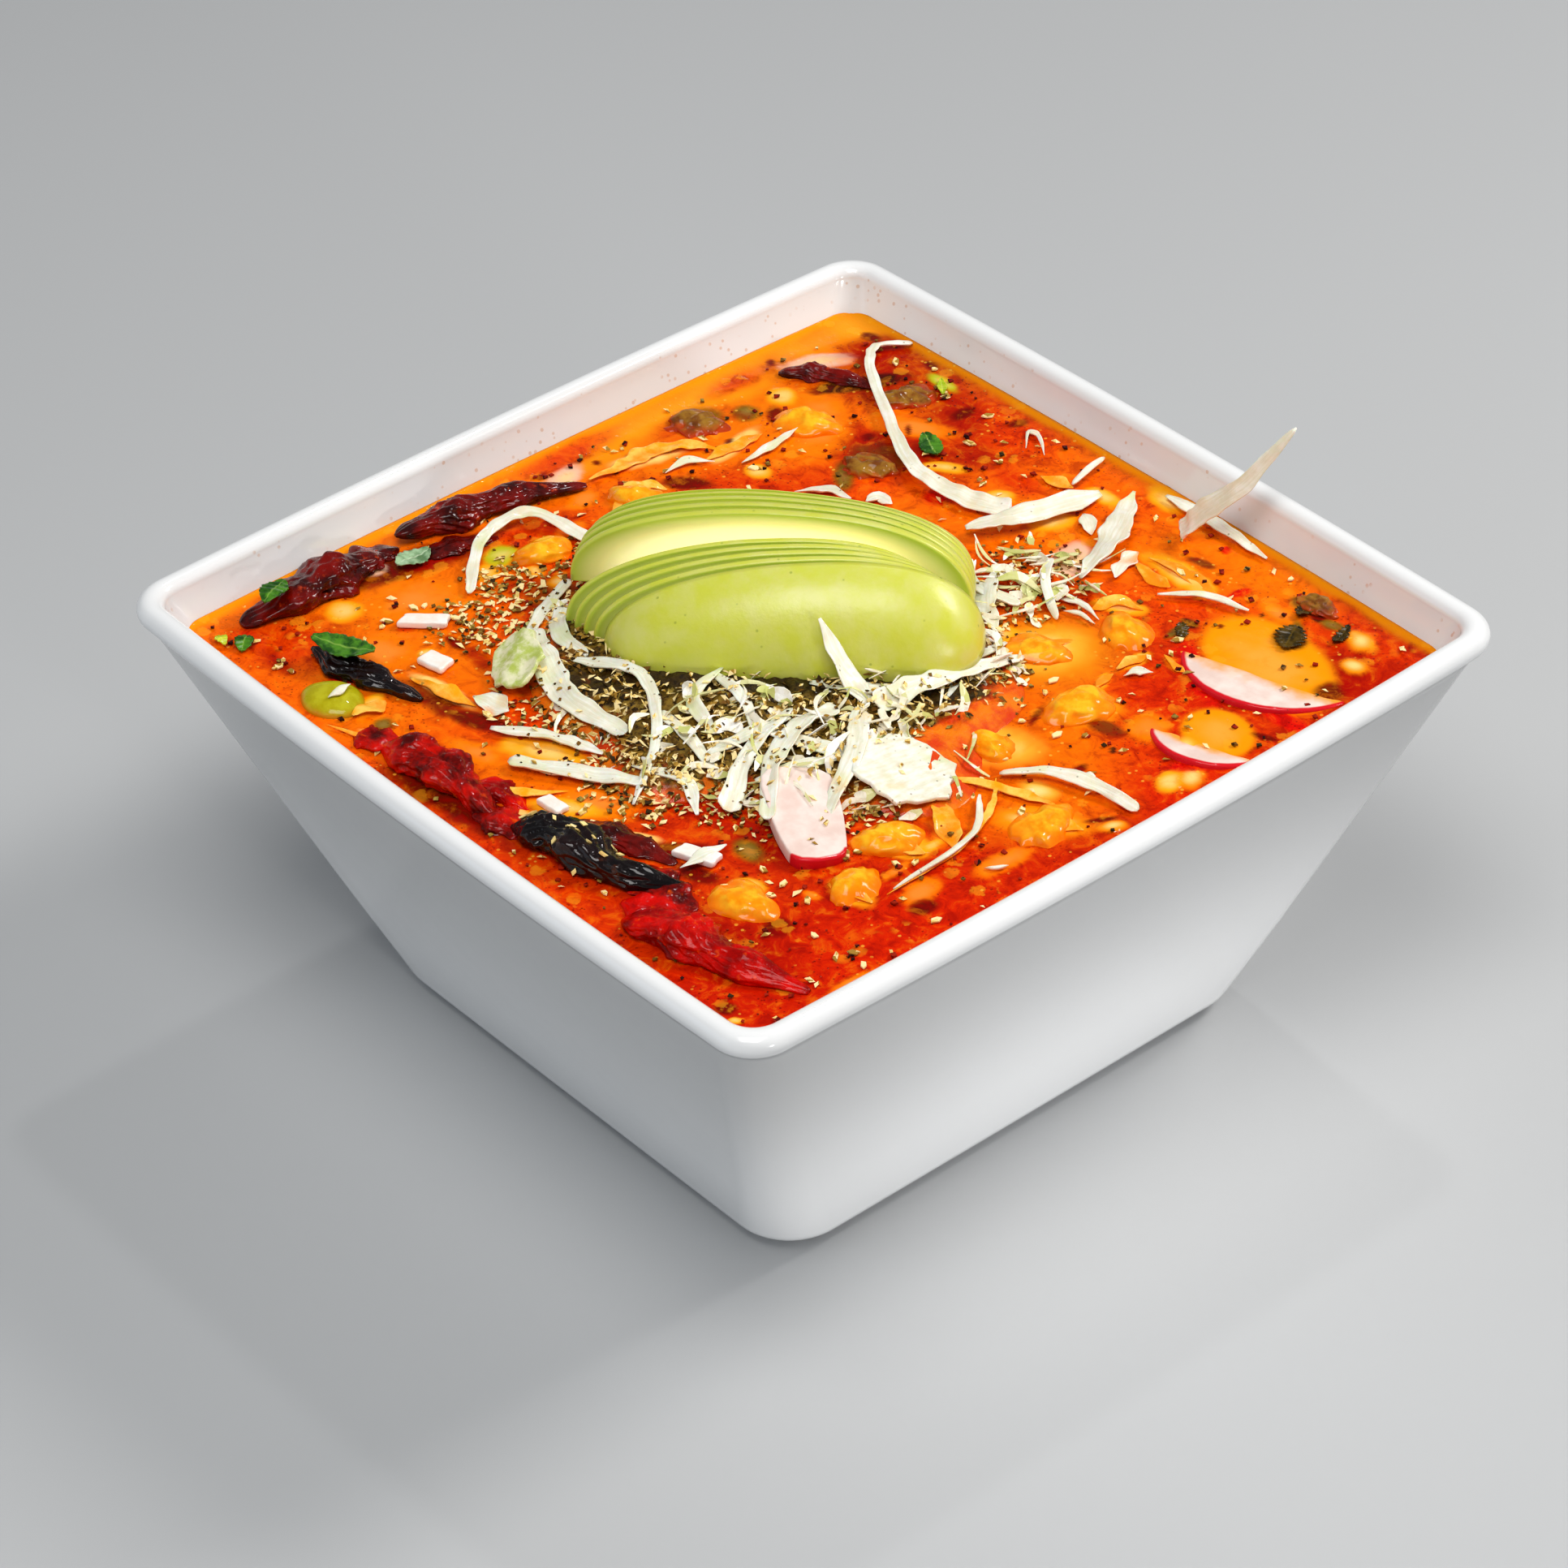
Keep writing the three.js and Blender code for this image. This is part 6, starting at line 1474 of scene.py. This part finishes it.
# %% [markdown]
# ## Floor and light
# A soft light from behind draws a glint along every wet edge, and a wider one above opens the shadows.
# A small bright one sets the sharp glints on the broth, two weak ones at the sides shape the bowl's outer
# faces, and a narrow low one lifts the face on the right. The floor is plain and pale.

# %% Floor
floor_mesh = new_mesh("floor", [(-3000, -3000, 0), (3000, -3000, 0), (3000, 3000, 0), (-3000, 3000, 0)],
                      [(0, 1, 2, 3)], {})
floor = new_object("floor", floor_mesh)
matt = Finish("pale_floor", Roughness=0.8)
matt.feed(Base_Color=matt.mix(matt.noise(400, 1), (186, 187, 188), (190, 191, 192)))
floor_mesh.materials.append(matt.material)
floor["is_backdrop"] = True


# %% Lights
def place_light(name, lamp, spot, target):
    piece = new_object(name, lamp)
    piece.location = spot
    piece.rotation_euler = (Vector(target) - Vector(spot)).to_track_quat("-Z", "Y").to_euler()


SOFT_LIGHTS = [  # name, place in metres, width, watts, colour
    ("back_light", (0.35, 0.75, 0.85), 0.3, 7, (1.0, 0.98, 0.95)),
    ("top_light", (0.3, -0.4, 1.2), 0.6, 9, (1.0, 0.99, 0.97)),
    ("glint_light", (-0.4, 0.69, 1.39), 0.07, 1.8, (1.0, 1.0, 1.0)),
    ("right_light", (1.2, 0.0, 0.2), 0.7, 0.25, (1.0, 0.98, 0.95)),
    ("left_light", (-0.5, -1.3, 0.4), 1.0, 2.4, (0.72, 0.86, 1.0)),
]
for name, spot, width, watts, colour in SOFT_LIGHTS:
    lamp = bpy.data.lights.new(name, "AREA")
    lamp.shape, lamp.size, lamp.size_y = "RECTANGLE", width, width
    lamp.energy, lamp.color = watts, colour
    place_light(name, lamp, spot, (0, 0, 0.07))
low = bpy.data.lights.new("low_light", "SPOT")
low.energy, low.spot_size, low.spot_blend, low.shadow_soft_size = 26, math.radians(14), 1.0, 0.1
place_light("low_light", low, (0.95, -0.12, 0.14), (0.075, 0.0, 0.005))
world = bpy.data.worlds.new("studio")
world.use_nodes = True
world.node_tree.nodes["Background"].inputs["Color"].default_value = (0.88, 0.94, 1.0, 1)
world.node_tree.nodes["Background"].inputs["Strength"].default_value = 0.2
bpy.context.scene.view_settings.view_transform = "Standard"
bpy.context.scene.world = world

# %% [markdown]
# ## Finish
# The last cell measures the box of the dressed model and the box of the plain one, and prints the box of the
# dressed model.

# %% Sizes before and after
dressed_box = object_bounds()
pair = (("cad", cad_box), ("visual", dressed_box))
boxes = {name: [list(map(float, corner)) for corner in box] for name, box in pair}
print("dressed box in mm:", [[round(c * 1000, 1) for c in corner] for corner in boxes["visual"]])
